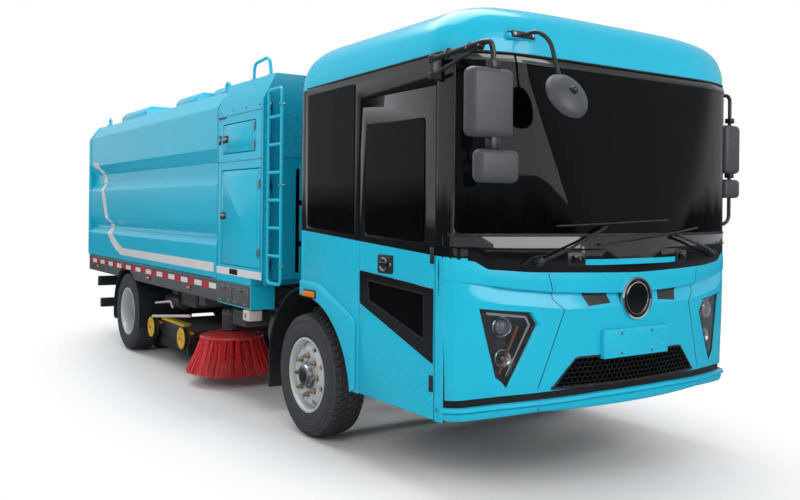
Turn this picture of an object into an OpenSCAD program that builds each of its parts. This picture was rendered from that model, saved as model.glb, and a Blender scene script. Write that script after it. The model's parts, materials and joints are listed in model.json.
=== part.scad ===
// Street sweeper truck: forward-control cab, equipment cabinet, tipping hopper,
// side brushes and suction nozzle on a two-axle chassis.
// +X is forward, +Y is the vehicle's left, +Z is up, and the wheels stand on z = 0.

/* [Chassis] */
// Distance between the front and the rear axle
wheelbase = 4280; // [4200:10:4340]
// Top of the frame rails above the ground
rail_top = 860; // [850:1:865]
// Height of a frame rail
rail_h = 240; // [220:1:250]
// Outside width over the frame rails
frame_w = 860; // [840:1:870]
// Thickness of the rail steel
rail_wall = 12; // [8:1:16]

/* [Wheels] */
// Outside diameter of a tyre
tyre_d = 864; // [850:1:870]
// Section width of a tyre
tyre_w = 264; // [250:1:266]
// Distance from the centre line to the front tyre's mid plane
front_tyre_y = 1050; // [1040:1:1055]
// Distance from the centre line to the outer rear tyre's mid plane
rear_tyre_y = 1065; // [1060:1:1068]
// Distance between the mid planes of the twin tyres
twin_gap = 300; // [290:1:305]

/* [Cab] */
// Width of the cab
cab_w = 2400; // [2380:2:2420]
// Bottom edge of the cab's skin
sill_z = 445; // [440:1:470]
// Height of the roof's lower edge
eave_z = 2440; // [2420:1:2460]
// Height of the middle of the roof
roof_z = 2765; // [2740:1:2790]
// Thickness of the cab's walls and doors
cab_wall = 50; // [40:1:55]
// Radius of the nose seen from above
crown_r = 3020; // [3000:1:3060]

/* [Cabinet] */
// Thickness of the cabinet's walls
cabinet_wall = 40; // [36:1:44]
// Height of the cabinet's roof
cabinet_top = 2640; // [2630:1:2660]

/* [Hopper] */
// Half width over the hopper's side walls
hopper_half_w = 1210; // [1205:1:1215]
// Height of the hopper's roof
hopper_top = 2630; // [2610:1:2650]
// Height of the tipping axis
tip_z = 930; // [925:1:935]

/* [Sweeping gear] */
// Radius of a side brush at the bristle tips
brush_r = 415; // [380:1:430]
// Height of the bristle tips above the ground when lifted
brush_z = 100; // [60:1:120]
// Radius of a nozzle wheel
nozzle_wheel_r = 105; // [90:1:110]

/* [Hidden] */
$fn = 96;

far = 5000;                                  // longer than any cut through the truck
gap = 5;                                     // clearance round a moving panel
pin_gap = 0.1;                               // radial clearance of a pin in its bore
front_axle_x = 1900;
rear_axle_x = front_axle_x - wheelbase;
tyre_r = tyre_d / 2;
frame_half = frame_w / 2;
rail_flange = 70;
rail_bottom = rail_top - rail_h;
frame_rear_x = -3800;
frame_front_x = 3460;
cross_member_x = [-3770, -3505, -2000, -1500, -700, 940, 1500, 2300, 2900, 3420];
kingpin_y = 830;
kingpin_r = 22;
spindle_r = 32;
rear_spindle_r = 45;
rim_r = 247;
rim_half = 104;
stud_count = 8;

cab_half = cab_w / 2;
cab_rear_x = 1870;
nose_x = 3820;
nose_top_x = 3700;
belt_z = 1290;
corner_r = 180;
crown_x = nose_x - crown_r;
corner_y = cab_half - corner_r;
corner_x = crown_x + sqrt(pow(crown_r - corner_r, 2) - pow(corner_y, 2));
corner_tangent_y = crown_r * corner_y / (crown_r - corner_r);
panel_x = 3520;                              // where the nose panel meets the cab's side
glass_x = 3565;                              // where the windscreen meets the pillar
glass_z0 = 1400;
glass_z1 = 2400;
floor_z = 900;
seat_floor_z = 1000;
floor_t = 50;
arch_x = 1930;
arch_z = 350;
arch_r = 640;
door_x0 = 2660;
door_x1 = 3460;
door_z1 = 2280;
leaf_x0 = door_x0 + gap;
leaf_x1 = door_x1 - gap;
leaf_z0 = sill_z + gap;
leaf_z1 = door_z1 - gap;

cabinet_x0 = 330;
cabinet_x1 = 1243;
cabinet_z0 = 985;
cabinet_half = 1215;
tunnel_half = 930;
tunnel_z1 = 1905;
cabinet_floor_z = 1090;
hatch_box = [454, 1102, 2040, 2286];         // x0, x1, z0, z1 of the upper hatch
locker_box = [420, 1200, 1125, 1905];        // x0, x1, z0, z1 of the lower door
panel_t = 34;                                // thickness of a cabinet door

hopper_x0 = -4000;
hopper_x1 = 320;
hopper_z0 = 990;
tip_x = -3700;
tip_pin_r = 25;
gate_x = -4036;
gate_rear_x = -4070;
gate_z = 2560;
gate_pin_r = 15;
lift_base = [-3400, 660];                    // x, z of the lift cylinder's lower pin
lift_eye = [-2200, 940];                     // x, z of its upper pin
lift_angle = atan2(lift_eye[1] - lift_base[1], lift_eye[0] - lift_base[0]);
lift_length = norm(lift_eye - lift_base);
lift_pin_r = 20;

arm_pivot = [700, 480];                      // x, y of the left brush arm's pin
brush_at = [-150, 870];                      // x, y of the left brush's centre
arm_z = 610;
arm_pin_r = 20;
nozzle_x0 = -1650;
nozzle_x1 = -880;
nozzle_axle_z = 330;
nozzle_front_x = -800;
nozzle_rear_x = -1730;
nozzle_wheel_y = 1100;
nozzle_axle_r = 15;

// A box given by its low and high corner values along each axis
module slab(x0, x1, y0, y1, z0, z1) {
    translate([x0, y0, z0]) cube([x1 - x0, y1 - y0, z1 - z0]);
}

// The children on the left, and mirrored to the right
module both_sides() {
    children();
    mirror([0, 1, 0]) children();
}

// A rod along Y from y0 to y1 at x, z
module rod_y(x, z, y0, y1, r) {
    translate([x, y0, z]) rotate([-90, 0, 0]) cylinder(r = r, h = y1 - y0);
}

// A straight tube between two points
module bar(a, b, r) {
    d = b - a;
    translate(a) rotate([0, acos(d[2] / norm(d)), atan2(d[1], d[0])]) cylinder(r = r, h = norm(d));
}

// A tube through a list of points, its lengths run past each corner to close it
module bent_tube(points, r) {
    last = len(points) - 2;
    for (i = [0 : last]) {
        run = (points[i + 1] - points[i]) / norm(points[i + 1] - points[i]);
        bar(points[i] - run * (i > 0 ? r * 0.8 : 0), points[i + 1] + run * (i < last ? r * 0.8 : 0),
            r * (i % 2 == 0 ? 1 : 0.93));
    }
}

// An outline in the Y-Z plane, drawn out along X
module along_x(x0, x1) {
    translate([x0, 0, 0]) rotate([90, 0, 90]) linear_extrude(x1 - x0) children();
}

// An outline in the X-Z plane, drawn out along +Y from y0 to y1
module along_y(y0, y1) {
    translate([0, y1, 0]) rotate([90, 0, 0]) linear_extrude(y1 - y0) children();
}

// ---- Chassis ----

module frame_rail() {
    difference() {
        slab(frame_rear_x, frame_front_x, frame_half - rail_flange, frame_half, rail_bottom, rail_top);
        slab(frame_rear_x - 1, frame_front_x + 1, 0, frame_half - rail_wall,
             rail_bottom + rail_wall, rail_top - rail_wall);
    }
}

module cross_member(x) {
    slab(x - 30, x + 30, -frame_half + rail_wall, frame_half - rail_wall,
         rail_bottom + 20, rail_top - 20);
}

module tip_bracket() {
    difference() {
        slab(tip_x - 38, tip_x + 38, 392, 418, rail_top, tip_z + 38);
        rod_y(tip_x, tip_z, 380, 430, tip_pin_r + pin_gap);
    }
}

module lift_base_bracket() {
    slab(lift_base[0] - 80, lift_base[0] + 45, 52, 68, lift_base[1] - 45, lift_base[1] + 45);
}

module brush_arm_bracket() {
    slab(arm_pivot[0] - 45, arm_pivot[0] + 45, frame_half - 50, arm_pivot[1] + 45, arm_z - 50, arm_z - gap);
    slab(arm_pivot[0] - 45, arm_pivot[0] + 45, frame_half - 50, frame_half, arm_z - gap, rail_bottom);
    translate([arm_pivot[0], arm_pivot[1], arm_z - gap]) cylinder(r = arm_pin_r, h = 75);
}

module frame_rails() color("dimgray") both_sides() {
    frame_rail();
    tip_bracket();
    brush_arm_bracket();
}

module cross_members() color("dimgray") {
    for (x = cross_member_x) cross_member(x);
    both_sides() lift_base_bracket();
    rod_y(lift_base[0], lift_base[1], -68, 68, lift_pin_r);
}

// A leaf spring with its seat on the axle and its hangers on the frame
module leaf_spring(axle_x, seat_z) {
    y0 = frame_half - rail_flange + 2;
    y1 = frame_half - 2;
    top = rail_bottom - 50;
    slab(axle_x - 60, axle_x + 60, y0, y1, seat_z, top - 48);
    for (i = [0 : 2]) slab(axle_x - 300 - 150 * i, axle_x + 300 + 150 * i, y0, y1,
                           top - 48 + 16 * i, top - 32 + 16 * i);
    for (s = [-1, 1]) slab(axle_x + s * 570 - 30, axle_x + s * 570 + 30, y0, y1, top, rail_bottom);
}

module front_axle() color("dimgray") {
    beam_top = tyre_r + 40;
    difference() {
        union() {
            slab(front_axle_x - 50, front_axle_x + 50, -kingpin_y, kingpin_y, tyre_r - 40, beam_top);
            both_sides() translate([front_axle_x, kingpin_y, tyre_r - 52]) cylinder(r = 48, h = 104);
        }
        both_sides() translate([front_axle_x, kingpin_y, 0]) cylinder(r = kingpin_r + pin_gap, h = far);
    }
    both_sides() leaf_spring(front_axle_x, beam_top);
}

module rear_axle() color("dimgray") {
    tube_r = 75;
    rod_y(rear_axle_x, tyre_r, -600, 600, tube_r);
    rod_y(rear_axle_x, tyre_r, -1080, 1080, rear_spindle_r);
    translate([rear_axle_x, 0, tyre_r]) sphere(r = 190);
    both_sides() leaf_spring(rear_axle_x, tyre_r + tube_r - 10);
}

module battery_pack() color("gray") {
    slab(-640, 880, -frame_half + rail_wall, frame_half - rail_wall, rail_bottom + 20, rail_top - 20);
}

module knuckle() {
    plate_y = kingpin_y + 55;
    for (z = [tyre_r - 97, tyre_r + 57])
        slab(front_axle_x - 45, front_axle_x + 45, kingpin_y - 45, plate_y + 1, z, z + 40);
    slab(front_axle_x - 50, front_axle_x + 50, plate_y, plate_y + 25, tyre_r - 97, tyre_r + 97);
    translate([front_axle_x, kingpin_y, tyre_r - 97]) cylinder(r = kingpin_r, h = 194);
    rod_y(front_axle_x, tyre_r, plate_y, front_tyre_y + 90, spindle_r);
}

module knuckle_left() color("dimgray") knuckle();
module knuckle_right() color("dimgray") mirror([0, 1, 0]) knuckle();

// ---- Wheels ----

// A ring turned about the Y axis; the outline holds radius and height along Y
module turned(x, y) {
    translate([x, y, tyre_r]) rotate([-90, 0, 0]) rotate_extrude() children();
}

module rim_barrel() {
    polygon([[rim_r - 14, -rim_half - 12], [rim_r + 13, -rim_half - 12], [rim_r + 13, -rim_half],
             [rim_r, -rim_half], [rim_r, rim_half], [rim_r + 13, rim_half],
             [rim_r + 13, rim_half + 12], [rim_r - 14, rim_half + 12]]);
}

module tyre_outline() {
    h = tyre_w / 2;
    polygon([[rim_r + 0.4, 1 - rim_half], [rim_r + 20, 1 - rim_half], [rim_r + 34, 6 - h], [rim_r + 90, -h],
             [tyre_r - 40, 6 - h], [tyre_r - 12, 20 - h], [tyre_r, 40 - h],
             [tyre_r, h - 40], [tyre_r - 12, h - 20], [tyre_r - 40, h - 6],
             [rim_r + 90, h], [rim_r + 34, h - 6], [rim_r + 20, rim_half - 1], [rim_r + 0.4, rim_half - 1]]);
}

module hand_holes(x, r, at_r) {
    for (i = [0 : stud_count - 1])
        translate([x, 0, tyre_r]) rotate([0, 22.5 + i * 360 / stud_count, 0])
            translate([at_r, 0, 0]) rotate([-90, 0, 0]) cylinder(r = r, h = far, $fn = 48);
}

module front_wheel() {
    difference() {
        union() {
            turned(front_axle_x, front_tyre_y) rim_barrel();
            turned(front_axle_x, front_tyre_y)
                polygon([[spindle_r + pin_gap, 20], [90, 20], [90, 60], [rim_r - 60, 80], [rim_r - 10, 40],
                         [rim_r - 10, 56], [rim_r - 55, 98], [150, 98], [100, 90], [84, 92], [84, 120],
                         [spindle_r + pin_gap, 120]]);
        }
        hand_holes(front_axle_x, 22, 193);
    }
}

module front_tyre() { turned(front_axle_x, front_tyre_y) tyre_outline(); }

module rear_wheels() {
    inner_y = rear_tyre_y - twin_gap;
    web_y = (rear_tyre_y + inner_y) / 2;
    difference() {
        union() {
            turned(rear_axle_x, rear_tyre_y) rim_barrel();
            turned(rear_axle_x, inner_y) rim_barrel();
            turned(rear_axle_x, web_y)
                polygon([[rear_spindle_r + pin_gap, -170], [95, -170], [95, -20], [rim_r - 14, -20],
                         [rim_r - 14, -42], [rim_r, -42], [rim_r, 42], [rim_r - 14, 42], [rim_r - 14, 20],
                         [95, 20], [80, 130], [rear_spindle_r + pin_gap, 130]]);
        }
        hand_holes(rear_axle_x, 22, 200);
    }
}

module rear_tyres() {
    for (y = [rear_tyre_y, rear_tyre_y - twin_gap]) turned(rear_axle_x, y) tyre_outline();
}

module front_wheel_left() color("silver") front_wheel();
module front_wheel_right() color("silver") mirror([0, 1, 0]) front_wheel();
module front_tyre_left() color([0.1, 0.1, 0.1]) front_tyre();
module front_tyre_right() color([0.1, 0.1, 0.1]) mirror([0, 1, 0]) front_tyre();
module rear_wheels_left() color("silver") rear_wheels();
module rear_wheels_right() color("silver") mirror([0, 1, 0]) rear_wheels();
module rear_tyres_left() color([0.1, 0.1, 0.1]) rear_tyres();
module rear_tyres_right() color([0.1, 0.1, 0.1]) mirror([0, 1, 0]) rear_tyres();

// ---- Cab ----

// The cab seen from above, taken in by d on all sides
module cab_plan(d) {
    intersection() {
        translate([crown_x, 0]) circle(r = crown_r - d, $fn = 360);
        translate([cab_rear_x + d, -corner_tangent_y]) square([far, 2 * corner_tangent_y]);
    }
    translate([cab_rear_x + d, d - cab_half]) square([corner_x - cab_rear_x - d, 2 * (cab_half - d)]);
    for (s = [-1, 1]) translate([corner_x, s * corner_y]) circle(r = corner_r - d);
}

// The cab's body up to the eaves, taken in by d, with the raked windscreen plane
module cab_volume(d, z0, z1) {
    rake = atan2(nose_x - nose_top_x, eave_z - belt_z);
    intersection() {
        translate([0, 0, z0]) linear_extrude(z1 - z0) cab_plan(d);
        translate([nose_x - d, 0, belt_z]) rotate([0, -rake, 0])
            translate([-far, -far / 2, -far / 2]) cube([far, far, far]);
    }
}

// The cab's skin with its doors, windows, nose and arches cut
module cab_skin() {
    difference() {
        cab_volume(0, sill_z, eave_z);
        cab_volume(cab_wall, 0, far);
        slab(panel_x, far, -far, far, 0, belt_z);
        slab(glass_x, far, -far, far, glass_z0, glass_z1);
        slab(0, cab_rear_x + cab_wall, -far, far, 0, seat_floor_z);
        both_sides() {
            slab(door_x0, door_x1, cab_half - cab_wall - gap, far, 0, door_z1);
            slab(1990, 2560, cab_half - cab_wall - 1, far, 1488, 2360);
            rod_y(arch_x, arch_z, 1000, far, arch_r);
        }
    }
}

// The part of the cab's skin between two places along the truck
module skin_between(x0, x1) {
    intersection() {
        cab_skin();
        slab(x0, x1, -far, far, 0, far);
    }
}

module cab_rear_wall() color([0.15, 0.71, 0.83])
    slab(cab_rear_x, cab_rear_x + cab_wall, -cab_half, cab_half, seat_floor_z, eave_z);
module cab_sides() color([0.15, 0.71, 0.83]) skin_between(cab_rear_x + cab_wall, door_x1);
module windscreen_frame() color([0.15, 0.71, 0.83]) skin_between(door_x1, far);

// Floor, seat platform, entry steps and the bulkhead behind the nose
module cab_floor() color("dimgray") {
    inner = cab_half - cab_wall;
    bulkhead = inner - 30;
    riser_x = door_x0 - 70;
    slab(riser_x, panel_x, -920, 920, floor_z, floor_z + floor_t);
    slab(cab_rear_x + cab_wall, riser_x + 50, -inner, inner, seat_floor_z, seat_floor_z + floor_t);
    slab(riser_x, riser_x + 50, -650, 650, floor_z, seat_floor_z + floor_t);
    slab(panel_x - 40, panel_x, -bulkhead, bulkhead, floor_z, belt_z);
    both_sides() {
        slab(riser_x, riser_x + 50, 650, inner, sill_z + 20, seat_floor_z + floor_t);
        slab(riser_x, panel_x, 880, 920, sill_z + 35, floor_z + floor_t);
        slab(riser_x, panel_x - 39, 880, inner - gap, sill_z + 35, sill_z + 75);
        slab(panel_x - 40, panel_x, 880, bulkhead, sill_z + 20, belt_z);
    }
}

// Roof outline at inset d, with its front edge straight across
module roof_slab(d, z) {
    translate([0, 0, z]) linear_extrude(1) intersection() {
        cab_plan(d, $fn = 40);
        translate([0, -far / 2]) square([nose_top_x - d * 0.6, far]);
    }
}

roof_steps = [[0, 0], [0.25, 6], [0.5, 38], [0.72, 105], [0.87, 200], [0.95, 320], [1, 620]];
module roof_volume(lift, inset) {
    h = roof_z - eave_z - 1;
    hull() for (step = roof_steps) roof_slab(step[1] + inset, eave_z + step[0] * h + lift);
}

module cab_roof() color([0.15, 0.71, 0.83]) {
    difference() {
        roof_volume(0, 0);
        translate([0, 0, -1]) roof_volume(-cab_wall, cab_wall);
    }
}

headlamp_outline = [[1030, 1060], [750, 1030], [712, 968], [885, 630], [935, 690]];
grille_outline = [[-600, 600], [-440, 768], [440, 768], [600, 600]];

module nose_skin(d, t) {
    intersection() {
        difference() {
            cab_volume(d, sill_z + gap, belt_z - gap);
            cab_volume(d + t, 0, far);
        }
        slab(panel_x, far, -far, far, 0, belt_z);
    }
}

plate_z = [755, 920];
plate_bolts = [260, 115];                    // hole spacing across and up
plate_x = 3832;
module front_panel() color([0.15, 0.71, 0.83]) {
    difference() {
        union() {
            nose_skin(0, cab_wall);
            slab(nose_x - 45, plate_x, -275, 275, plate_z[0], plate_z[1]);
        }
        both_sides() along_x(panel_x, far) polygon(headlamp_outline);
        along_x(panel_x, nose_x + 5) polygon(grille_outline);
        for (y = [-0.5, 0.5], z = [-0.5, 0.5])
            translate([plate_x - 30, y * plate_bolts[0], (plate_z[0] + plate_z[1]) / 2 + z * plate_bolts[1]])
                rotate([0, 90, 0]) cylinder(r = 4, h = 100);
    }
    intersection() {
        nose_skin(25, 12);
        along_x(panel_x, far) polygon(grille_outline);
    }
}

module headlamps() color("gainsboro") {
    intersection() {
        nose_skin(8, 60);
        both_sides() along_x(panel_x, far) polygon(headlamp_outline);
    }
}

module cab_glass() color([0.1, 0.12, 0.13, 0.5]) {
    intersection() {
        difference() {
            cab_volume(6, 0, eave_z);
            cab_volume(18, 0, far);
        }
        slab(glass_x, far, -far, far, glass_z0, glass_z1);
    }
    both_sides() slab(1990, 2560, cab_half - 30, cab_half - 18, 1488, 2360);
}

mirror_right_x = 3975;
mirror_left_x = 3505;
module mirrors() color([0.2, 0.2, 0.22]) {
    // right-hand main and kerb mirrors on their forward arms
    slab(3465, 3500, -1262, -cab_half, 2300, 2430);
    bent_tube([[3485, -1250, 2405], [mirror_right_x, -1258, 2432], [mirror_right_x, -1235, 2380],
               [mirror_right_x, -1235, 1790]], 14);
    bar([3485, -1250, 2315], [3880, -1250, 2412], 11);
    slab(mirror_right_x - 45, mirror_right_x + 50, -1400, -1130, 1950, 2290);
    slab(mirror_right_x - 42, mirror_right_x + 45, -1345, -1085, 1730, 1895);
    // front mirror hung from the roof's right-hand corner
    slab(3698, 3712, -860, -740, 2510, 2570);
    bent_tube([[3711, -800, 2540], [3860, -775, 2545], [3925, -760, 2360], [3965, -745, 2215]], 12);
    translate([3973, -745, 2190]) rotate([0, 62, 0]) cylinder(r = 132, h = 40);
    // left-hand mirrors on their bow
    slab(3465, 3500, cab_half, cab_half + 14, 2385, 2430);
    slab(3468, 3500, cab_half, cab_half + 14, 1480, 1525);
    bent_tube([[3485, cab_half + 13, 2408], [mirror_left_x, 1320, 2425], [mirror_left_x, 1320, 1530],
               [3485, cab_half + 13, 1502]], 13);
    slab(mirror_left_x - 40, mirror_left_x + 42, 1225, 1400, 1870, 2210);
    slab(mirror_left_x - 38, mirror_left_x + 40, 1225, 1400, 1700, 1830);
}

module dashboard() color([0.16, 0.16, 0.17]) {
    slab(3240, panel_x - 41, -1080, 1080, floor_z + floor_t + 80, 1340);
    slab(3300, panel_x - 41, -300, 300, floor_z + floor_t, floor_z + floor_t + 81);
    translate([3010, 550, 1440]) rotate([0, -35, 0]) {
        rotate_extrude() translate([215, 0]) circle(r = 17, $fn = 24);
        translate([0, 0, -340]) cylinder(r = 30, h = 340);
        for (a = [0, 90, 180, 270]) rotate([0, 0, a]) translate([0, -14, -8]) cube([215, 28, 16]);
    }
}

module seat() {
    slab(2180, 2560, -170, 170, seat_floor_z + floor_t, 1300);
    slab(2130, 2640, -250, 250, 1300, 1410);
    translate([2150, -245, 1405]) rotate([0, -8, 0]) cube([110, 490, 580]);
}

module seats() color([0.22, 0.23, 0.25]) {
    for (y = [-550, 550]) translate([0, y, 0]) seat();
}

// A door leaf on the left, with its two window openings cut
upper_window = [2740, 3345, 1450, 2095];     // x0, x1, z0, z1
lower_window = [[2765, 1162], [3358, 1128], [3362, 874], [2791, 1036]];
module door() {
    difference() {
        slab(leaf_x0, leaf_x1, cab_half - cab_wall, cab_half, leaf_z0, leaf_z1);
        slab(upper_window[0], upper_window[1], 0, far, upper_window[2], upper_window[3]);
        along_y(0, far) polygon(lower_window);
    }
}

module door_glass() {
    slab(upper_window[0], upper_window[1], cab_half - 30, cab_half - 18, upper_window[2], upper_window[3]);
    along_y(cab_half - 30, cab_half - 18) polygon(lower_window);
}

module door_left() color([0.15, 0.71, 0.83]) door();
module door_right() color([0.15, 0.71, 0.83]) mirror([0, 1, 0]) door();
module door_glass_left() color([0.1, 0.12, 0.13, 0.5]) door_glass();
module door_glass_right() color([0.1, 0.12, 0.13, 0.5]) mirror([0, 1, 0]) door_glass();

// ---- Cabinet, ladder and fan ----

module cabinet_section(d) {
    h = cabinet_half - d;
    polygon([[-h, cabinet_z0], [-h, 2430], [-1105 + d, cabinet_top - d], [1105 - d, cabinet_top - d],
             [h, 2430], [h, cabinet_z0]]);
}

module equipment_cabinet() color([0.13, 0.66, 0.78]) {
    x0 = cabinet_x0 + cabinet_wall;
    x1 = cabinet_x1 - cabinet_wall;
    difference() {
        along_x(cabinet_x0, cabinet_x1) cabinet_section(0);
        // upper compartment
        intersection() {
            along_x(x0, x1) cabinet_section(cabinet_wall);
            slab(x0, x1, -far, far, tunnel_z1 + cabinet_wall, far);
        }
        // central tunnel for the fan
        slab(0, far, -tunnel_half, tunnel_half, cabinet_floor_z, tunnel_z1);
        // raised front part of the underside
        slab(1040, far, -far, far, 0, 1045);
        both_sides() {
            slab(x0, x1, tunnel_half + cabinet_wall, cabinet_half - cabinet_wall,
                 cabinet_floor_z, tunnel_z1 - cabinet_wall);
            slab(hatch_box[0], hatch_box[1], cabinet_half - cabinet_wall - 1, far, hatch_box[2], hatch_box[3]);
            slab(locker_box[0], locker_box[1], cabinet_half - cabinet_wall, far, locker_box[2], locker_box[3]);
        }
    }
    both_sides() {
        slab(cabinet_x0 + 30, cabinet_x1 - 30, frame_half - rail_flange, frame_half, rail_top, cabinet_z0 + 61);
        slab(cabinet_x0, 1035, 1000, 1208, 795, cabinet_z0);
    }
}

module cabinet_leaf(box) {
    slab(box[0] + gap, box[1] - gap, cabinet_half - panel_t, cabinet_half, box[2] + gap, box[3] - gap);
}

module locker_door_left() color([0.13, 0.66, 0.78]) cabinet_leaf(locker_box);
module locker_door_right() color([0.13, 0.66, 0.78]) mirror([0, 1, 0]) cabinet_leaf(locker_box);
module hatch_left() color([0.13, 0.66, 0.78]) cabinet_leaf(hatch_box);
module hatch_right() color([0.13, 0.66, 0.78]) mirror([0, 1, 0]) cabinet_leaf(hatch_box);

module fan_unit() color([0.15, 0.15, 0.16]) {
    slab(450, 1130, -700, 700, cabinet_floor_z, 1780);
}

ladder_x = [1270, 1500];
ladder_y = -1180;
ladder_z = [1030, 2490];
rung_count = 7;
module ladder() color([0.13, 0.66, 0.78]) {
    bent_tube([[ladder_x[0], ladder_y, ladder_z[1]], [ladder_x[0], ladder_y, ladder_z[0]],
               [ladder_x[1], ladder_y, ladder_z[0]], [ladder_x[1], ladder_y, ladder_z[1]],
               [ladder_x[0], ladder_y, ladder_z[1]]], 13);
    for (i = [1 : rung_count - 1]) {
        z = ladder_z[0] + i * (ladder_z[1] - ladder_z[0]) / rung_count;
        bar([ladder_x[0], ladder_y, z], [ladder_x[1], ladder_y, z], 11);
    }
    for (z = [1150, 1750, 2350]) {
        slab(cabinet_x1, ladder_x[0], ladder_y - 10, ladder_y + 10, z, z + 30);
        slab(cabinet_x1, cabinet_x1 + 6, ladder_y - 10, ladder_y + 45, z - 30, z + 60);
    }
    bent_tube([[767, -1080, cabinet_top + 2], [775, -1080, cabinet_top + 130],
               [1060, -1080, cabinet_top + 150], [1095, -1080, cabinet_top + 5]], 13);
}

// ---- Mudguards and rear end ----

// Part of a wheel arch band: a ring about the Y axis, cut to a quarter or a half
module arch_band(x, z, r, t, y0, y1) {
    difference() {
        rod_y(x, z, y0, y1, r + t);
        rod_y(x, z, y0 - 1, y1 + 1, r);
    }
}

rear_arch_z = 420;
rear_arch_r = 475;
rear_arch_t = 20;
module mudguards() color([0.08, 0.08, 0.09]) both_sides() {
    // behind the front wheel
    intersection() {
        arch_band(front_axle_x, tyre_r, 600, 20, 880, 1165);
        slab(0, cab_rear_x, 0, far, tyre_r, far);
    }
    slab(front_axle_x - 620, front_axle_x - 600, 880, 1165, 240, tyre_r);
    // over the rear wheels
    intersection() {
        arch_band(rear_axle_x, rear_arch_z, rear_arch_r, rear_arch_t, 620, 1195);
        slab(-far, 0, 0, far, rear_arch_z - 120, far);
    }
    slab(rear_axle_x - 20, rear_axle_x + 20, frame_half, 640, rear_arch_z + rear_arch_r, rear_arch_z + rear_arch_r + 19);
    slab(rear_axle_x - 20, rear_axle_x + 20, frame_half, frame_half + 15, 780, rear_arch_z + rear_arch_r + 19);
}

bumper_x = -3880;
module rear_bumper() color([0.1, 0.1, 0.11]) {
    slab(bumper_x, bumper_x + 80, -1100, 1100, 330, 440);
    both_sides() {
        slab(bumper_x + 20, frame_rear_x + 40, 370, 420, 439, rail_bottom);
        slab(frame_rear_x, frame_rear_x + 20, frame_half, 1140, 610, 700);
        slab(frame_rear_x - 50, frame_rear_x, 850, 1140, 600, 720);
    }
}

// ---- Hopper ----

// The hopper's section: ridged sides and a bevelled roof
hopper_side = [[1210, 990], [1210, 1285], [1150, 1350], [1150, 1400], [1210, 1460], [1210, 1800],
               [1150, 1876], [1150, 2000], [1210, 2088], [1210, 2450], [1100, 2600]];
module hopper_section() {
    scale_y = hopper_half_w / 1210;
    polygon(concat([for (p = hopper_side) [p[0] * scale_y, p[1]]], [[900, hopper_top], [-900, hopper_top]],
                   [for (i = [len(hopper_side) - 1 : -1 : 0]) [-hopper_side[i][0] * scale_y, hopper_side[i][1]]]));
}

module hopper_inside() {
    polygon([[-1085, 1060], [-1085, 2410], [-1020, 2530], [1020, 2530], [1085, 2410], [1085, 1060]]);
}

duct_rear = [-3880, -2870, 850, 170];        // x0, x1, half width, height
duct_middle = [-1810, -1170, 850, 150];
duct_front = [-1150, -380, 700, 190];
module roof_duct(d) {
    translate([0, 0, hopper_top]) along_x(d[0], d[1])
        polygon([[-d[2], -5], [-d[2], d[3] - 60], [60 - d[2], d[3]], [d[2] - 60, d[3]], [d[2], d[3] - 60], [d[2], -5]]);
}

eye_x = [-3700, 120];
eye_y = 1040;
eye_r = 22;
module lifting_eye(x) {
    difference() {
        union() {
            rod_y(x, hopper_top + 30, eye_y - 10, eye_y + 10, 48);
            slab(x - 48, x + 48, eye_y - 10, eye_y + 10, hopper_top - 60, hopper_top + 30);
        }
        rod_y(x, hopper_top + 30, 0, far, eye_r);
    }
}

module hopper() color([0.15, 0.71, 0.83]) {
    difference() {
        along_x(hopper_x0, hopper_x1) hopper_section();
        along_x(hopper_x0 - 1, hopper_x1 - 70) hopper_inside();
    }
    for (d = [duct_rear, duct_middle, duct_front]) roof_duct(d);
    both_sides() {
        for (x = eye_x) lifting_eye(x);
        // sub-frame runner, tipping ear and pin
        slab(-3600, 250, 365, 420, rail_top + 10, hopper_z0);
        slab(tip_x - 50, tip_x + 50, 335, 375, tip_z - 40, hopper_z0);
        rod_y(tip_x, tip_z, 336, 425, tip_pin_r);
        // tailgate hinge brackets and pin
        for (y = [440, 565]) slab(gate_x - 30, hopper_x0, y, y + 50, gate_z - 30, gate_z + 30);
        rod_y(gate_x, gate_z, 441, 614, gate_pin_r);
        // lug for the lift cylinder
        slab(lift_eye[0] - 40, lift_eye[0] + 40, 50, 70, lift_eye[1] - 40, hopper_z0);
    }
}

// Side rails under the hopper, notched over the rear wheels
module hopper_rails() color([0.33, 0.33, 0.35]) difference() {
    both_sides() slab(hopper_x0, hopper_x1, 1170, 1208, 800, hopper_z0);
    rod_y(rear_axle_x, rear_arch_z, -far, far, rear_arch_r + rear_arch_t + 8);
}

module tailgate() color([0.15, 0.71, 0.83]) {
    y0 = hopper_half_w - 2;
    difference() {
        union() {
            along_x(gate_rear_x, hopper_x0 - gap)
                polygon([[-y0, 1005], [-y0, 2440], [-1150, 2505], [1150, 2505], [y0, 2440], [y0, 1005]]);
            both_sides() {
                rod_y(gate_x, gate_z, 500, 555, 34);
                slab(gate_x - 34, gate_x + 34, 500, 555, 2500, gate_z);
            }
        }
        rod_y(gate_x, gate_z, -far, far, gate_pin_r + pin_gap);
    }
}

// ---- Lift cylinder ----

module at_lift_base() {
    translate([lift_base[0], 0, lift_base[1]]) rotate([0, -lift_angle, 0]) children();
}

barrel_length = 900;
module lift_barrel() color([0.3, 0.3, 0.32]) at_lift_base() {
    difference() {
        union() {
            rod_y(0, 0, -46, 46, 42);
            translate([20, 0, 0]) rotate([0, 90, 0]) cylinder(r = 38, h = 70);
            translate([78, 0, 0]) rotate([0, 90, 0]) cylinder(r = 58, h = barrel_length - 78);
        }
        rod_y(0, 0, -60, 60, lift_pin_r + pin_gap);
        translate([90, 0, 0]) rotate([0, 90, 0]) cylinder(r = 34 + pin_gap, h = far);
    }
}

module lift_rod() color("silver") at_lift_base() {
    translate([400, 0, 0]) rotate([0, 90, 0]) cylinder(r = 34, h = lift_length - 400);
    rod_y(lift_length, 0, -40, 40, 38);
    rod_y(lift_length, 0, -48, 48, lift_pin_r);
}

// ---- Brushes ----

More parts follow.
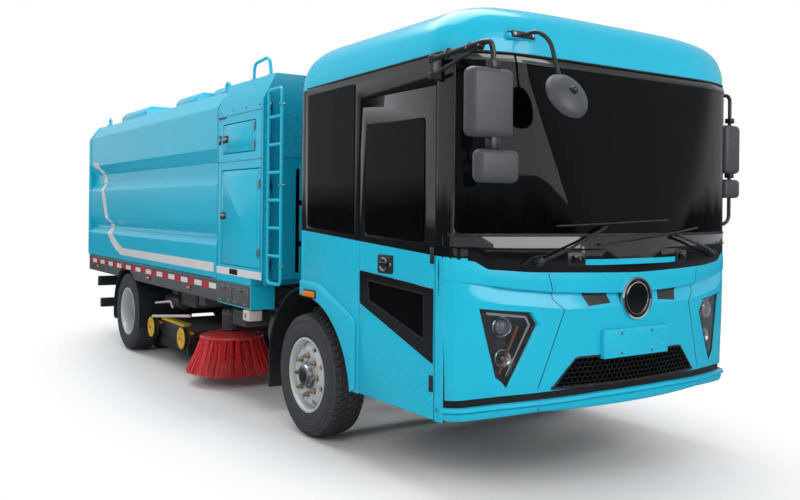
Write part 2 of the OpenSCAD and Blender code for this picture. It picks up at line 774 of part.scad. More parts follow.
module brush_arm() {
    reach = brush_at - arm_pivot;
    difference() {
        union() {
            translate([arm_pivot[0], arm_pivot[1], arm_z]) {
                cylinder(r = 44, h = 50);
                rotate([0, 0, atan2(reach[1], reach[0])]) translate([0, -32, 5]) cube([norm(reach), 64, 40]);
            }
            translate([brush_at[0], brush_at[1], arm_z - 130]) cylinder(r = 90, h = 180);
        }
        translate([arm_pivot[0], arm_pivot[1], 0]) cylinder(r = arm_pin_r + pin_gap, h = far);
    }
    translate([brush_at[0], brush_at[1], arm_z - 190]) cylinder(r = 20, h = 70);
}

module brush() {
    top = arm_z - 140;
    translate([brush_at[0], brush_at[1], 0]) rotate_extrude()
        polygon([[20 + pin_gap, top - 40], [20 + pin_gap, top], [150, top], [285, top - 35], [285, top - 60],
                 [brush_r, brush_z], [brush_r - 70, brush_z], [215, top - 60], [190, top - 40]]);
}

module brush_arm_left() color([0.12, 0.12, 0.13]) brush_arm();
module brush_arm_right() color([0.12, 0.12, 0.13]) mirror([0, 1, 0]) brush_arm();
module brush_left() color([0.86, 0.1, 0.16]) brush();
module brush_right() color([0.86, 0.1, 0.16]) mirror([0, 1, 0]) brush();

// ---- Suction nozzle ----

module suction_nozzle() color([0.1, 0.1, 0.11]) {
    difference() {
        union() {
            difference() {
                slab(nozzle_x0, nozzle_x1, -1030, 1030, 215, 420);
                slab(nozzle_x0 + 20, nozzle_x1 - 20, -1010, 1010, 200, 400);
            }
            both_sides() {
                slab(nozzle_x1 - 1, nozzle_front_x + 30, 1015, 1045, nozzle_axle_z - 30, nozzle_axle_z + 30);
                slab(nozzle_rear_x - 30, nozzle_x0 + 1, 1015, 1045, nozzle_axle_z - 30, nozzle_axle_z + 30);
                slab(-1310, -1230, frame_half - 60, frame_half - 10, 419, rail_bottom);
            }
        }
        for (x = [nozzle_front_x, nozzle_rear_x])
            rod_y(x, nozzle_axle_z, -far, far, nozzle_axle_r + pin_gap);
    }
    // suction pipe up to the hopper
    difference() {
        translate([-1100, 0, 400]) cylinder(r = 150, h = 580);
        translate([-1100, 0, 399]) cylinder(r = 135, h = far);
    }
}

module nozzle_wheels(x) {
    rod_y(x, nozzle_axle_z, -nozzle_wheel_y - 40, nozzle_wheel_y + 40, nozzle_axle_r);
    for (y = [-nozzle_wheel_y, nozzle_wheel_y]) rod_y(x, nozzle_axle_z, y - 28, y + 28, nozzle_wheel_r);
}

module nozzle_wheels_front() color([0.95, 0.75, 0.05]) nozzle_wheels(nozzle_front_x);
module nozzle_wheels_rear() color([0.95, 0.75, 0.05]) nozzle_wheels(nozzle_rear_x);

frame_rails();
cross_members();
front_axle();
rear_axle();
battery_pack();
cab_sides();
cab_rear_wall();
cab_floor();
windscreen_frame();
cab_roof();
front_panel();
cab_glass();
headlamps();
mirrors();
dashboard();
seats();
equipment_cabinet();
fan_unit();
ladder();
mudguards();
rear_bumper();
suction_nozzle();
knuckle_right();
knuckle_left();
front_wheel_right();
front_tyre_right();
front_wheel_left();
front_tyre_left();
rear_wheels_right();
rear_tyres_right();
rear_wheels_left();
rear_tyres_left();
door_right();
door_glass_right();
door_left();
door_glass_left();
locker_door_right();
locker_door_left();
hatch_right();
hatch_left();
hopper();
hopper_rails();
tailgate();
lift_barrel();
lift_rod();
brush_arm_right();
brush_right();
brush_arm_left();
brush_left();
nozzle_wheels_front();
nozzle_wheels_rear();
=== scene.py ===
import json
import math
import random

import bmesh
import bpy
from mathutils import Matrix, Vector

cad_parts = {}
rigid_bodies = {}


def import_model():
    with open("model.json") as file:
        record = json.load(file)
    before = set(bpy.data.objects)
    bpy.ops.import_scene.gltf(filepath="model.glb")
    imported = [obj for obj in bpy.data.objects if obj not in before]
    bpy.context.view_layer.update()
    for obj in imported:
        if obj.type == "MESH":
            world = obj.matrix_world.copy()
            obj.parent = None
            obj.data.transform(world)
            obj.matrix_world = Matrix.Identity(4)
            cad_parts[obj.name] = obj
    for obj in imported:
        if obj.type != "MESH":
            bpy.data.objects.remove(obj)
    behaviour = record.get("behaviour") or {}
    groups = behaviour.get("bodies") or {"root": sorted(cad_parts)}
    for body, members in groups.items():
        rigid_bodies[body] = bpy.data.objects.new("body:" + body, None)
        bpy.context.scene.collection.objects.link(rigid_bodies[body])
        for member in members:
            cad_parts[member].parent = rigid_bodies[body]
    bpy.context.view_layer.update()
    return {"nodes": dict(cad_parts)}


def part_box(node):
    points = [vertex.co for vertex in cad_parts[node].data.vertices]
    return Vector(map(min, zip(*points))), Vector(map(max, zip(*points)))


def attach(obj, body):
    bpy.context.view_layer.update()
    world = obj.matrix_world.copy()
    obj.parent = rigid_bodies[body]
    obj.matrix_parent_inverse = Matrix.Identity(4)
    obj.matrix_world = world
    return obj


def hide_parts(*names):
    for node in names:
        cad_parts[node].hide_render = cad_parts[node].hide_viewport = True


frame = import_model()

bl_info = {
    "name": "Street sweeper truck",
    "version": (1, 0, 0),
    "blender": (4, 5, 0),
    "location": "View3D > Sidebar > Sweeper",
    "description": "Builds the looks of a street sweeper truck round its packed frame",
    "category": "Object",
}

# ---- Sizes taken from the frame ----

FRONT_AXLE = (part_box("front_wheel_right")[0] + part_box("front_wheel_right")[1]) / 2
REAR_AXLE = (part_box("rear_wheels_right")[0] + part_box("rear_wheels_right")[1]) / 2
TYRE_R = (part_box("front_tyre_right")[1].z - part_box("front_tyre_right")[0].z) / 2
TYRE_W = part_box("front_tyre_right")[1].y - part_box("front_tyre_right")[0].y
SIDE_Y = -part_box("door_right")[0].y          # half width of the cab
CABINET_Y = -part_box("locker_door_right")[0].y
NOSE_X = 3.82
CROWN_R = 3.02                               # radius of the nose seen from above
CORNER_R = 0.18
CROWN_X = NOSE_X - CROWN_R
CORNER_Y = SIDE_Y - CORNER_R
CORNER_X = CROWN_X + math.sqrt((CROWN_R - CORNER_R) ** 2 - CORNER_Y ** 2)
CROWN_TURN = math.asin(CORNER_Y / (CROWN_R - CORNER_R))
CROWN_LEN = CROWN_R * CROWN_TURN             # from the middle of the nose to where the corner starts
CORNER_LEN = CORNER_R * (math.pi / 2 - CROWN_TURN)
BELT_Z = 1.29
ROOF_Z = 2.765
RAKE = 0.12 / 1.15                           # the windscreen leans back this much for each metre up
UP, SIDEWAYS, AHEAD = Vector((0, 0, 1)), Vector((0, 1, 0)), Vector((1, 0, 0))
BOTH_SIDES = (1, -1)                         # left, right
SMOOTH_BELOW = 35                            # degrees; edges flatter than this are shaded smooth
CAD_MERGE = 0.0002                           # corners of a CAD copy closer than this are one
FLAT_WITHIN = math.radians(0.6)              # its facets that turn less than this are one face


# ---- Modelling helpers ----

def deselect():
    """Leaves nothing selected"""
    for each in list(bpy.context.view_layer.objects.selected):
        each.select_set(False)


def drawn(points, faces, material, edges=()):
    """A new mesh object from its points and faces, selected and active"""
    deselect()
    mesh = bpy.data.meshes.new("shape")
    mesh.from_pydata([tuple(p) for p in points], list(edges), [tuple(f) for f in faces])
    mesh.materials.append(finish(material))
    obj = bpy.data.objects.new("shape", mesh)
    bpy.context.scene.collection.objects.link(obj)
    bpy.context.view_layer.objects.active = obj
    obj.select_set(True)
    return obj


def active(obj):
    """Selects the object alone and makes it the active one"""
    deselect()
    bpy.context.view_layer.objects.active = obj
    obj.select_set(True)
    return obj


def editing(obj, mode="EDGE"):
    """Opens the object for editing with nothing selected"""
    active(obj)
    bpy.ops.object.mode_set(mode="EDIT")
    bpy.ops.mesh.select_mode(type=mode)
    bpy.ops.mesh.select_all(action="DESELECT")


def editing_all():
    """Opens the active object for editing, all of it selected"""
    bpy.ops.object.mode_set(mode="EDIT")
    bpy.ops.mesh.select_all(action="SELECT")


def done():
    """Ends editing"""
    bpy.ops.object.mode_set(mode="OBJECT")


def face_out():
    """Turns every face outwards and ends editing"""
    bpy.ops.mesh.select_all(action="SELECT")
    bpy.ops.mesh.normals_make_consistent(inside=False)
    done()


def chamfer(obj, width, rings=2, sharpness=30):
    """Rounds the edges that are sharper than an angle in degrees"""
    if width <= 0:
        return obj
    editing(obj)
    bpy.ops.mesh.edges_select_sharp(sharpness=math.radians(sharpness))
    bpy.ops.mesh.bevel(offset=width, segments=rings, affect="EDGES")
    done()
    return obj


def settle(obj, material):
    """Moves the object's place into its mesh and gives it its material"""
    bpy.ops.object.transform_apply(location=True, rotation=True, scale=True)
    obj.data.materials.append(finish(material))
    return obj


def block(lo, hi, material, edge=0.004, rings=2):
    """A box between two corners with rounded edges"""
    deselect()
    lo, hi = Vector(lo), Vector(hi)
    bpy.ops.mesh.primitive_cube_add(size=1, location=(lo + hi) / 2)
    obj = bpy.context.object
    obj.scale = hi - lo
    settle(obj, material)
    return chamfer(obj, edge, rings)


def rod(a, b, radius, material, sides=16, edge=0.0, rings=1):
    """A round bar between two points, its ends chamfered"""
    deselect()
    a, b = Vector(a), Vector(b)
    turn = (b - a).to_track_quat("Z", "Y").to_euler()
    bpy.ops.mesh.primitive_cylinder_add(vertices=sides, radius=radius, depth=(b - a).length,
                                        location=(a + b) / 2, rotation=turn)
    obj = settle(bpy.context.object, material)
    return chamfer(obj, edge, rings, 50 if sides > 7 else 70)


def ball(centre, radii, material, around=16, rings=10):
    """An ellipsoid with these radii"""
    deselect()
    bpy.ops.mesh.primitive_uv_sphere_add(segments=around, ring_count=rings, radius=1, location=centre)
    obj = bpy.context.object
    obj.scale = radii
    return settle(obj, material)


PLANES = {"X": (1, 2, 0), "Y": (0, 2, 1), "Z": (0, 1, 2)}


def prism(outline, axis, lo, hi, material, edge=0.003, rings=2, corner=0.0, corner_rings=4):
    """A flat outline drawn out along an axis; corner rounds the outline, edge its rims"""
    first, second, along = PLANES[axis]
    points = []
    for p in outline:
        point = [0, 0, 0]
        point[first], point[second], point[along] = p[0], p[1], lo
        points.append(point)
    obj = drawn(points, [range(len(points))], material)
    editing_all()
    if corner:
        bpy.ops.mesh.bevel(offset=corner, segments=corner_rings, affect="VERTICES")
        bpy.ops.mesh.select_all(action="SELECT")
    move = Vector((0, 0, 0))
    move[along] = hi - lo
    bpy.ops.mesh.extrude_region_move(TRANSFORM_OT_translate={"value": move})
    face_out()
    return chamfer(obj, edge, rings, 40)


def lathe(profile, centre, axis, material, steps=48):
    """A closed outline of (radius, height) turned round an axis through centre"""
    axis = Vector(axis).normalized()
    across = axis.orthogonal().normalized()
    centre = Vector(centre)
    points = [centre + axis * h + across * r for r, h in profile]
    edges = [(i, (i + 1) % len(points)) for i in range(len(points))]
    obj = drawn(points, [], material, edges)
    editing_all()
    bpy.ops.mesh.spin(steps=steps, angle=2 * math.pi, center=centre, axis=axis)
    bpy.ops.mesh.select_all(action="SELECT")
    bpy.ops.mesh.remove_doubles(threshold=0.00001)
    face_out()
    return obj


def rounded_path(points, bend):
    """The points with each inner corner turned into an arc"""
    steps = 5
    points = [Vector(p) for p in points]
    path = [points[0]]
    for before, corner, after in zip(points, points[1:], points[2:]):
        reach = min(bend, (corner - before).length * 0.45, (after - corner).length * 0.45)
        start = corner + (before - corner).normalized() * reach
        end = corner + (after - corner).normalized() * reach
        for i in range(steps + 1):
            t = i / steps
            path.append(start.lerp(corner, t).lerp(corner.lerp(end, t), t))
    path.append(points[-1])
    return path


def tube(points, radius, material, bend=0.05, round_steps=2, closed=False):
    """A bent tube, a curve with thickness made a mesh"""
    deselect()
    path = rounded_path(points, bend) if bend else [Vector(p) for p in points]
    curve = bpy.data.curves.new("shape", "CURVE")
    curve.dimensions = "3D"
    curve.bevel_depth = radius
    curve.bevel_resolution = round_steps
    curve.use_fill_caps = True
    spline = curve.splines.new("POLY")
    spline.points.add(len(path) - 1)
    for point, place in zip(spline.points, path):
        point.co = (*place, 1)
    spline.use_cyclic_u = closed
    obj = bpy.data.objects.new("shape", curve)
    bpy.context.scene.collection.objects.link(obj)
    active(obj)
    bpy.ops.object.convert(target="MESH")
    obj = bpy.context.object
    obj.data.materials.append(finish(material))
    return obj


def copies(obj, places):
    """The shape repeated at each place (a matrix), as one mesh"""
    mesh = obj.data
    points = [v.co.copy() for v in mesh.vertices]
    faces = [tuple(p.vertices) for p in mesh.polygons]
    slots = [p.material_index for p in mesh.polygons]
    new_points, new_faces, new_slots = [], [], []
    for place in places:
        start = len(new_points)
        flipped = place.determinant() < 0
        new_points += [place @ p for p in points]
        for f in faces:
            f = [start + i for i in f]
            new_faces.append(f[::-1] if flipped else f)
        new_slots += slots
    result = bpy.data.meshes.new("shape")
    result.from_pydata([tuple(p) for p in new_points], [], new_faces)
    for material in mesh.materials:
        result.materials.append(material)
    result.polygons.foreach_set("material_index", new_slots)
    obj.data = result
    bpy.data.meshes.remove(mesh)
    return obj


def moves(*offsets):
    """A matrix for each offset"""
    return [Matrix.Translation(o) for o in offsets]


def about(centre, axis, angles):
    """Turns by each angle in degrees about an axis through centre"""
    centre = Vector(centre)
    return [Matrix.Translation(centre) @ Matrix.Rotation(math.radians(a), 4, axis)
            @ Matrix.Translation(-centre) for a in angles]


def evenly(count):
    """The angles in degrees of count things spaced evenly round a circle"""
    return [i * 360 / count for i in range(count)]


def arc(u, v, radius, angles):
    """Points (u, v) on a circle at each angle in degrees"""
    return [(u + radius * math.cos(math.radians(a)), v + radius * math.sin(math.radians(a))) for a in angles]


def upright_arc(x, z, radius, angles, y):
    """Points of an arc that stands in the plane at y"""
    return [Vector((u, y, v)) for u, v in arc(x, z, radius, angles)]


def oblong(u0, v0, u1, v1):
    """The four corners of a flat rectangle"""
    return [(u0, v0), (u1, v0), (u1, v1), (u0, v1)]


def joined(shapes):
    """Makes one object of the shapes"""
    active(shapes[0])
    for shape in shapes[1:]:
        shape.select_set(True)
    if len(shapes) > 1:
        bpy.ops.object.join()
    return bpy.context.object


def apply_all(obj):
    """Applies all the object's modifiers"""
    active(obj)
    for modifier in list(obj.modifiers):
        bpy.ops.object.modifier_apply(modifier=modifier.name)
    return obj


def cut(obj, *cutters):
    """Takes the cutters out of the shape"""
    tool = joined(list(cutters))
    modifier = obj.modifiers.new("cut", "BOOLEAN")
    modifier.operation = "DIFFERENCE"
    modifier.solver = "EXACT"
    modifier.use_self = True
    modifier.object = tool
    apply_all(obj)
    bpy.data.objects.remove(tool)
    return obj


def of_node(node, material, width, rings=2):
    """A copy of a CAD node with its flats merged and its edges rounded"""
    deselect()
    source = frame["nodes"][node]
    obj = bpy.data.objects.new("shape", source.data.copy())
    bpy.context.scene.collection.objects.link(obj)
    obj.data.materials.clear()
    obj.data.materials.append(finish(material))
    for attribute in [a.name for a in obj.data.attributes if a.name in ("custom_normal", "sharp_face")]:
        obj.data.attributes.remove(obj.data.attributes[attribute])
    editing(obj)
    bpy.ops.mesh.select_all(action="SELECT")
    bpy.ops.mesh.remove_doubles(threshold=CAD_MERGE)
    bpy.ops.mesh.select_all(action="SELECT")
    bpy.ops.mesh.dissolve_limited(angle_limit=FLAT_WITHIN)
    done()
    modifier = obj.modifiers.new("edges", "BEVEL")
    modifier.width = width
    modifier.segments = rings
    modifier.limit_method = "ANGLE"
    modifier.angle_limit = math.radians(SMOOTH_BELOW)
    modifier.use_clamp_overlap = False
    return apply_all(obj)


def paint(obj, material, test):
    """Gives the faces whose centre and normal pass the test another material"""
    obj.data.materials.append(finish(material))
    index = len(obj.data.materials) - 1
    for face in obj.data.polygons:
        if test(face.center, face.normal):
            face.material_index = index
    return obj


def split_at(obj, point, normal):
    """Cuts an edge line through the shape's faces where a plane crosses it"""
    editing(obj, "FACE")
    bpy.ops.mesh.select_all(action="SELECT")
    bpy.ops.mesh.bisect(plane_co=point, plane_no=normal)
    done()
    return obj


def piece(name, body, shapes, replaces=(), angle=SMOOTH_BELOW, crisp=False):
    """Joins the shapes into one named piece that rides on a body; crisp keeps panels flat up to their creases"""
    obj = joined(list(shapes))
    obj.name = obj.data.name = name
    bpy.ops.object.shade_smooth_by_angle(angle=math.radians(angle))
    if crisp:
        bpy.ops.object.modifier_add(type="WEIGHTED_NORMAL")
        obj.modifiers[-1].keep_sharp = True
        apply_all(obj)
    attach(obj, body)
    if replaces:
        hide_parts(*replaces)
    return obj


def pair(name, body, shapes, replaces=()):
    """A piece modelled on the right, and its mirror on the left; * stands for the side"""
    right = piece(name.replace("*", "right"), body.replace("*", "right"), shapes,
                  [n.replace("*", "right") for n in replaces])
    left = bpy.data.objects.new(name.replace("*", "left"), right.data.copy())
    left.data.name = left.name
    bpy.context.scene.collection.objects.link(left)
    left.data.transform(Matrix.Scale(-1, 4, SIDEWAYS))
    left.data.flip_normals()
    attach(left, body.replace("*", "left"))
    if replaces:
        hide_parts(*[n.replace("*", "left") for n in replaces])
    return right, left


# ---- Surfaces of the truck that thin pieces are laid on ----

def soft_min(a, b, reach):
    """The smaller value, blended where the two come within reach of each other"""
    blend = max(reach - abs(a - b), 0) / reach
    return min(a, b) - blend * blend * reach / 4


def around(s, z=0.0, lift=0.0):
    """A point of the cab's outline, s metres round from the middle of the nose, lifted off it"""
    hand, s = (1 if s >= 0 else -1), abs(s)
    if s < CROWN_LEN:
        angle, centre, radius, back = s / CROWN_R, (CROWN_X, 0), CROWN_R, 0
    elif s < CROWN_LEN + CORNER_LEN:
        angle, centre, radius, back = CROWN_TURN + (s - CROWN_LEN) / CORNER_R, (CORNER_X, CORNER_Y), CORNER_R, 0
    else:
        angle, centre, radius, back = math.pi / 2, (CORNER_X, CORNER_Y), CORNER_R, s - CROWN_LEN - CORNER_LEN
    x = centre[0] + (radius + lift) * math.cos(angle) - back
    y = centre[1] + (radius + lift) * math.sin(angle)
    if z > BELT_Z:
        x = soft_min(x, NOSE_X + lift - (z - BELT_Z) * RAKE, 0.02)
    return Vector((x, hand * y, z))


def s_of(y):
    """Distance round the nose at which the outline is y off the centre line"""
    hand, y = (1 if y >= 0 else -1), abs(y)
    crown_end = CROWN_R * math.sin(CROWN_TURN)
    if y <= crown_end:
        return hand * CROWN_R * math.asin(y / CROWN_R)
    turn = math.asin(min((y - CORNER_Y) / CORNER_R, 1))
    return hand * (CROWN_LEN + CORNER_R * (turn - CROWN_TURN))


def on_nose(u, v, d):
    """A point on the nose, d proud of it"""
    return around(u, v, d)


def on_cab_side(u, v, d):
    """A point on the cab's right side, d proud of it"""
    return Vector((u, -SIDE_Y - d, v))


def on_cabinet(u, v, d):
    """A point on the cabinet's right side, d proud of it"""
    return Vector((u, -CABINET_Y - d, v))


HOPPER_SIDE = [(1.21, 0.99), (1.21, 1.285), (1.15, 1.35), (1.15, 1.4), (1.21, 1.46), (1.21, 1.8),
               (1.15, 1.876), (1.15, 2.0), (1.21, 2.088), (1.21, 2.45), (1.1, 2.6)]


def on_hopper(u, v, d):
    """A point on the hopper's ridged right side, d proud of it"""
    for (y0, z0), (y1, z1) in zip(HOPPER_SIDE, HOPPER_SIDE[1:]):
        if v <= z1:
            break
    y = y0 + (y1 - y0) * (v - z0) / (z1 - z0)
    return Vector((u, -y - d, v))


def wrapped(outline, surface, lift, thick, material, step=0.05, edge=0.0, rings=2, corner=0.0, rows=()):
    """A thin plate cut to an outline and laid on a surface, its face lifted off it"""
    obj = drawn([(u, v, 0) for u, v in outline], [range(len(outline))], material)
    bpy.ops.object.mode_set(mode="EDIT")
    bpy.ops.mesh.select_mode(type="VERT")
    bpy.ops.mesh.select_all(action="SELECT")
    if corner:
        bpy.ops.mesh.bevel(offset=corner, segments=4, affect="VERTICES")
    us, vs = [p[0] for p in outline], [p[1] for p in outline]
    lines = [((u, 0, 0), (1, 0, 0)) for u in spaced(min(us), max(us), step)] if step else []
    lines += [((0, v, 0), (0, 1, 0)) for v in rows if min(vs) < v < max(vs)]
    for point, normal in lines:
        bpy.ops.mesh.select_all(action="SELECT")
        bpy.ops.mesh.bisect(plane_co=point, plane_no=normal)
    face_out()
    flat = obj.data.copy()
    for vertex in obj.data.vertices:
        vertex.co = surface(vertex.co.x, vertex.co.y, lift)
    under = [surface(v.co.x, v.co.y, lift - thick) for v in flat.vertices]
    close_shell(obj, under)
    return chamfer(obj, edge, rings, 50)


def spaced(lo, hi, step):
    """Evenly spaced values between two ends, about a step apart"""
    count = max(1, round((hi - lo) / step))
    return [lo + (hi - lo) * i / count for i in range(1, count)]


def close_shell(obj, under):
    """Adds the lower skin and the rim to an open sheet"""
    mesh = obj.data
    top = [v.co.copy() for v in mesh.vertices]
    faces = [list(p.vertices) for p in mesh.polygons]
    count = len(top)
    used = {}
    for f in faces:
        for a, b in zip(f, f[1:] + f[:1]):
            used[(a, b)] = True
    rim = [(a, b) for a, b in used if (b, a) not in used]
    centre_top = sum((Vector(top[i]) for i in faces[0]), Vector()) / len(faces[0])
    centre_low = sum((Vector(under[i]) for i in faces[0]), Vector()) / len(faces[0])
    normal = (top[faces[0][1]] - top[faces[0][0]]).cross(top[faces[0][2]] - top[faces[0][1]])
    for i in range(len(faces[0])):
        a, b, c = (top[faces[0][(i + k) % len(faces[0])]] for k in range(3))
        normal += (b - a).cross(c - b)
    out = normal.dot(centre_top - centre_low) > 0
    all_faces = [f if out else f[::-1] for f in faces]
    all_faces += [[count + i for i in (f[::-1] if out else f)] for f in faces]
    for a, b in rim:
        quad = [b, a, count + a, count + b]
        all_faces.append(quad if out else quad[::-1])
    new = bpy.data.meshes.new("shape")
    new.from_pydata([tuple(p) for p in top + list(under)], [], all_faces)
    for material in mesh.materials:
        new.materials.append(material)
    obj.data = new
    bpy.data.meshes.remove(mesh)
    return obj


def sheet_of(rows, material, closed=False):
    """A surface through rows of points"""
    wide = len(rows[0])
    points = [p for row in rows for p in row]
    faces = []
    for j in range(len(rows) - 1):
        for i in range(wide if closed else wide - 1):
            k = (i + 1) % wide
            faces.append((j * wide + i, j * wide + k, (j + 1) * wide + k, (j + 1) * wide + i))
    return drawn(points, faces, material)


def hex_bolt(place, axis, size, material="zinc", head=0.6):
    """A hexagon bolt head on a washer, pointing along axis"""
    place, axis = Vector(place), Vector(axis).normalized()
    washer = rod(place, place + axis * size * 0.15, size * 1.15, material, 16)
    cap = rod(place + axis * size * 0.15, place + axis * size * (0.15 + head), size, material, 6, size * 0.12)
    return joined([washer, cap])


# ---- Finishes ----

def add(tree, kind, inputs=None, **settings):
    """A node with its settings and inputs; an input is a value or another node's output"""
    node = tree.nodes.new(kind)
    for key, value in settings.items():
        setattr(node, key, value)
    for key, value in (inputs or {}).items():
        if isinstance(value, bpy.types.NodeSocket):
            tree.links.new(value, node.inputs[key])
        else:
            node.inputs[key].default_value = value
    return node


def group(name, ins, outs):
    """An empty node group with named sockets, and its input and output nodes"""
    tree = bpy.data.node_groups.new(name, "ShaderNodeTree")
    for title, kind, value in ins:
        socket = tree.interface.new_socket(name=title, in_out="INPUT", socket_type="NodeSocket" + kind)
        if value is not None:
            socket.default_value = value
    for title, kind in outs:
        tree.interface.new_socket(name=title, in_out="OUTPUT", socket_type="NodeSocket" + kind)
    return tree, tree.nodes.new("NodeGroupInput"), tree.nodes.new("NodeGroupOutput")


def mixed(tree, factor, a, b):
    """Blends colour a into colour b by factor"""
    node = tree.nodes.new("ShaderNodeMix")
    node.data_type = "RGBA"
    for key, value in ((0, factor), (6, a), (7, b)):
        if isinstance(value, bpy.types.NodeSocket):
            tree.links.new(value, node.inputs[key])
        else:
            node.inputs[key].default_value = value
    return node.outputs[2]


def maths(tree, operation, *values, clamp=False):
    """The output of one maths node; each value is a number or a socket"""
    node = tree.nodes.new("ShaderNodeMath")
    node.operation = operation
    node.use_clamp = clamp
    for i, value in enumerate(values):
        if isinstance(value, bpy.types.NodeSocket):
            tree.links.new(value, node.inputs[i])
        else:
            node.inputs[i].default_value = value
    return node.outputs[0]


def between(tree, value, low, high):
    """0 below low, 1 above high, smooth in between"""
    node = add(tree, "ShaderNodeMapRange", {0: value, 1: low, 2: high}, interpolation_type="SMOOTHSTEP")
    return node.outputs[0]


def make_grain():
    """Fine surface relief: a small grain over slow waves"""
    tree, given, out = group("Surface grain", [("Scale", "Float", 200.0), ("Waves", "Float", 0.3)],
                             [("Height", "Float")])
    place = add(tree, "ShaderNodeTexCoord").outputs["Object"]
    fine = add(tree, "ShaderNodeTexNoise", {"Vector": place, "Scale": given.outputs["Scale"], "Detail": 2.0})
    slow = add(tree, "ShaderNodeTexNoise", {"Vector": place, "Scale": 2.2, "Detail": 1.0})
    waves = maths(tree, "MULTIPLY", slow.outputs[0], given.outputs["Waves"])
    tree.links.new(maths(tree, "ADD", fine.outputs[0], waves), out.inputs["Height"])
    return tree


def make_weather():
    """Slow colour drift, road dust low down, edge wear, and the roughness that goes with them"""
    tree, given, out = group(
        "Weathering",
        [("Color", "Color", None), ("Drift", "Float", 0.05), ("Dust", "Float", 0.3), ("Dust Height", "Float", 0.7),
         ("Wear", "Float", 0.2), ("Wear Color", "Color", None), ("Smooth", "Float", 0.3), ("Rough", "Float", 0.4)],
        [("Color", "Color"), ("Roughness", "Float"), ("Mask", "Float")])
    place = add(tree, "ShaderNodeTexCoord").outputs["Object"]
    slow = add(tree, "ShaderNodeTexNoise", {"Vector": place, "Scale": 1.7, "Detail": 5.0, "Roughness": 0.6})
    fine = add(tree, "ShaderNodeTexNoise", {"Vector": place, "Scale": 38.0, "Detail": 4.0, "Roughness": 0.7})
    shade = add(tree, "ShaderNodeHueSaturation", {
        "Color": given.outputs["Color"], "Saturation": 1.0,
        "Value": maths(tree, "ADD", 1.0, maths(tree, "MULTIPLY", given.outputs["Drift"],
                                               maths(tree, "SUBTRACT", slow.outputs[0], 0.5)))})
    edges = between(tree, add(tree, "ShaderNodeNewGeometry").outputs["Pointiness"], 0.515, 0.56)
    worn = maths(tree, "MULTIPLY", maths(tree, "MULTIPLY", edges, between(tree, fine.outputs[0], 0.45, 0.62)),
                 given.outputs["Wear"])
    height = add(tree, "ShaderNodeSeparateXYZ", {0: place}).outputs["Z"]
    low = maths(tree, "SUBTRACT", 1.0, maths(tree, "DIVIDE", height, given.outputs["Dust Height"]), clamp=True)
    dusty = maths(tree, "MULTIPLY", maths(tree, "MULTIPLY", low, between(tree, slow.outputs[0], 0.3, 0.7)),
                  given.outputs["Dust"])
    colour = mixed(tree, worn, shade.outputs[0], given.outputs["Wear Color"])
    tree.links.new(mixed(tree, dusty, colour, (0.16, 0.14, 0.12, 1)), out.inputs["Color"])
    mask = maths(tree, "MAXIMUM", dusty, maths(tree, "MULTIPLY", fine.outputs[0], 0.6), clamp=True)
    rough = add(tree, "ShaderNodeMapRange", {0: mask, 1: 0.0, 2: 1.0, 3: given.outputs["Smooth"],
                                             4: given.outputs["Rough"]})
    tree.links.new(rough.outputs[0], out.inputs["Roughness"])
    tree.links.new(mask, out.inputs["Mask"])
    return tree


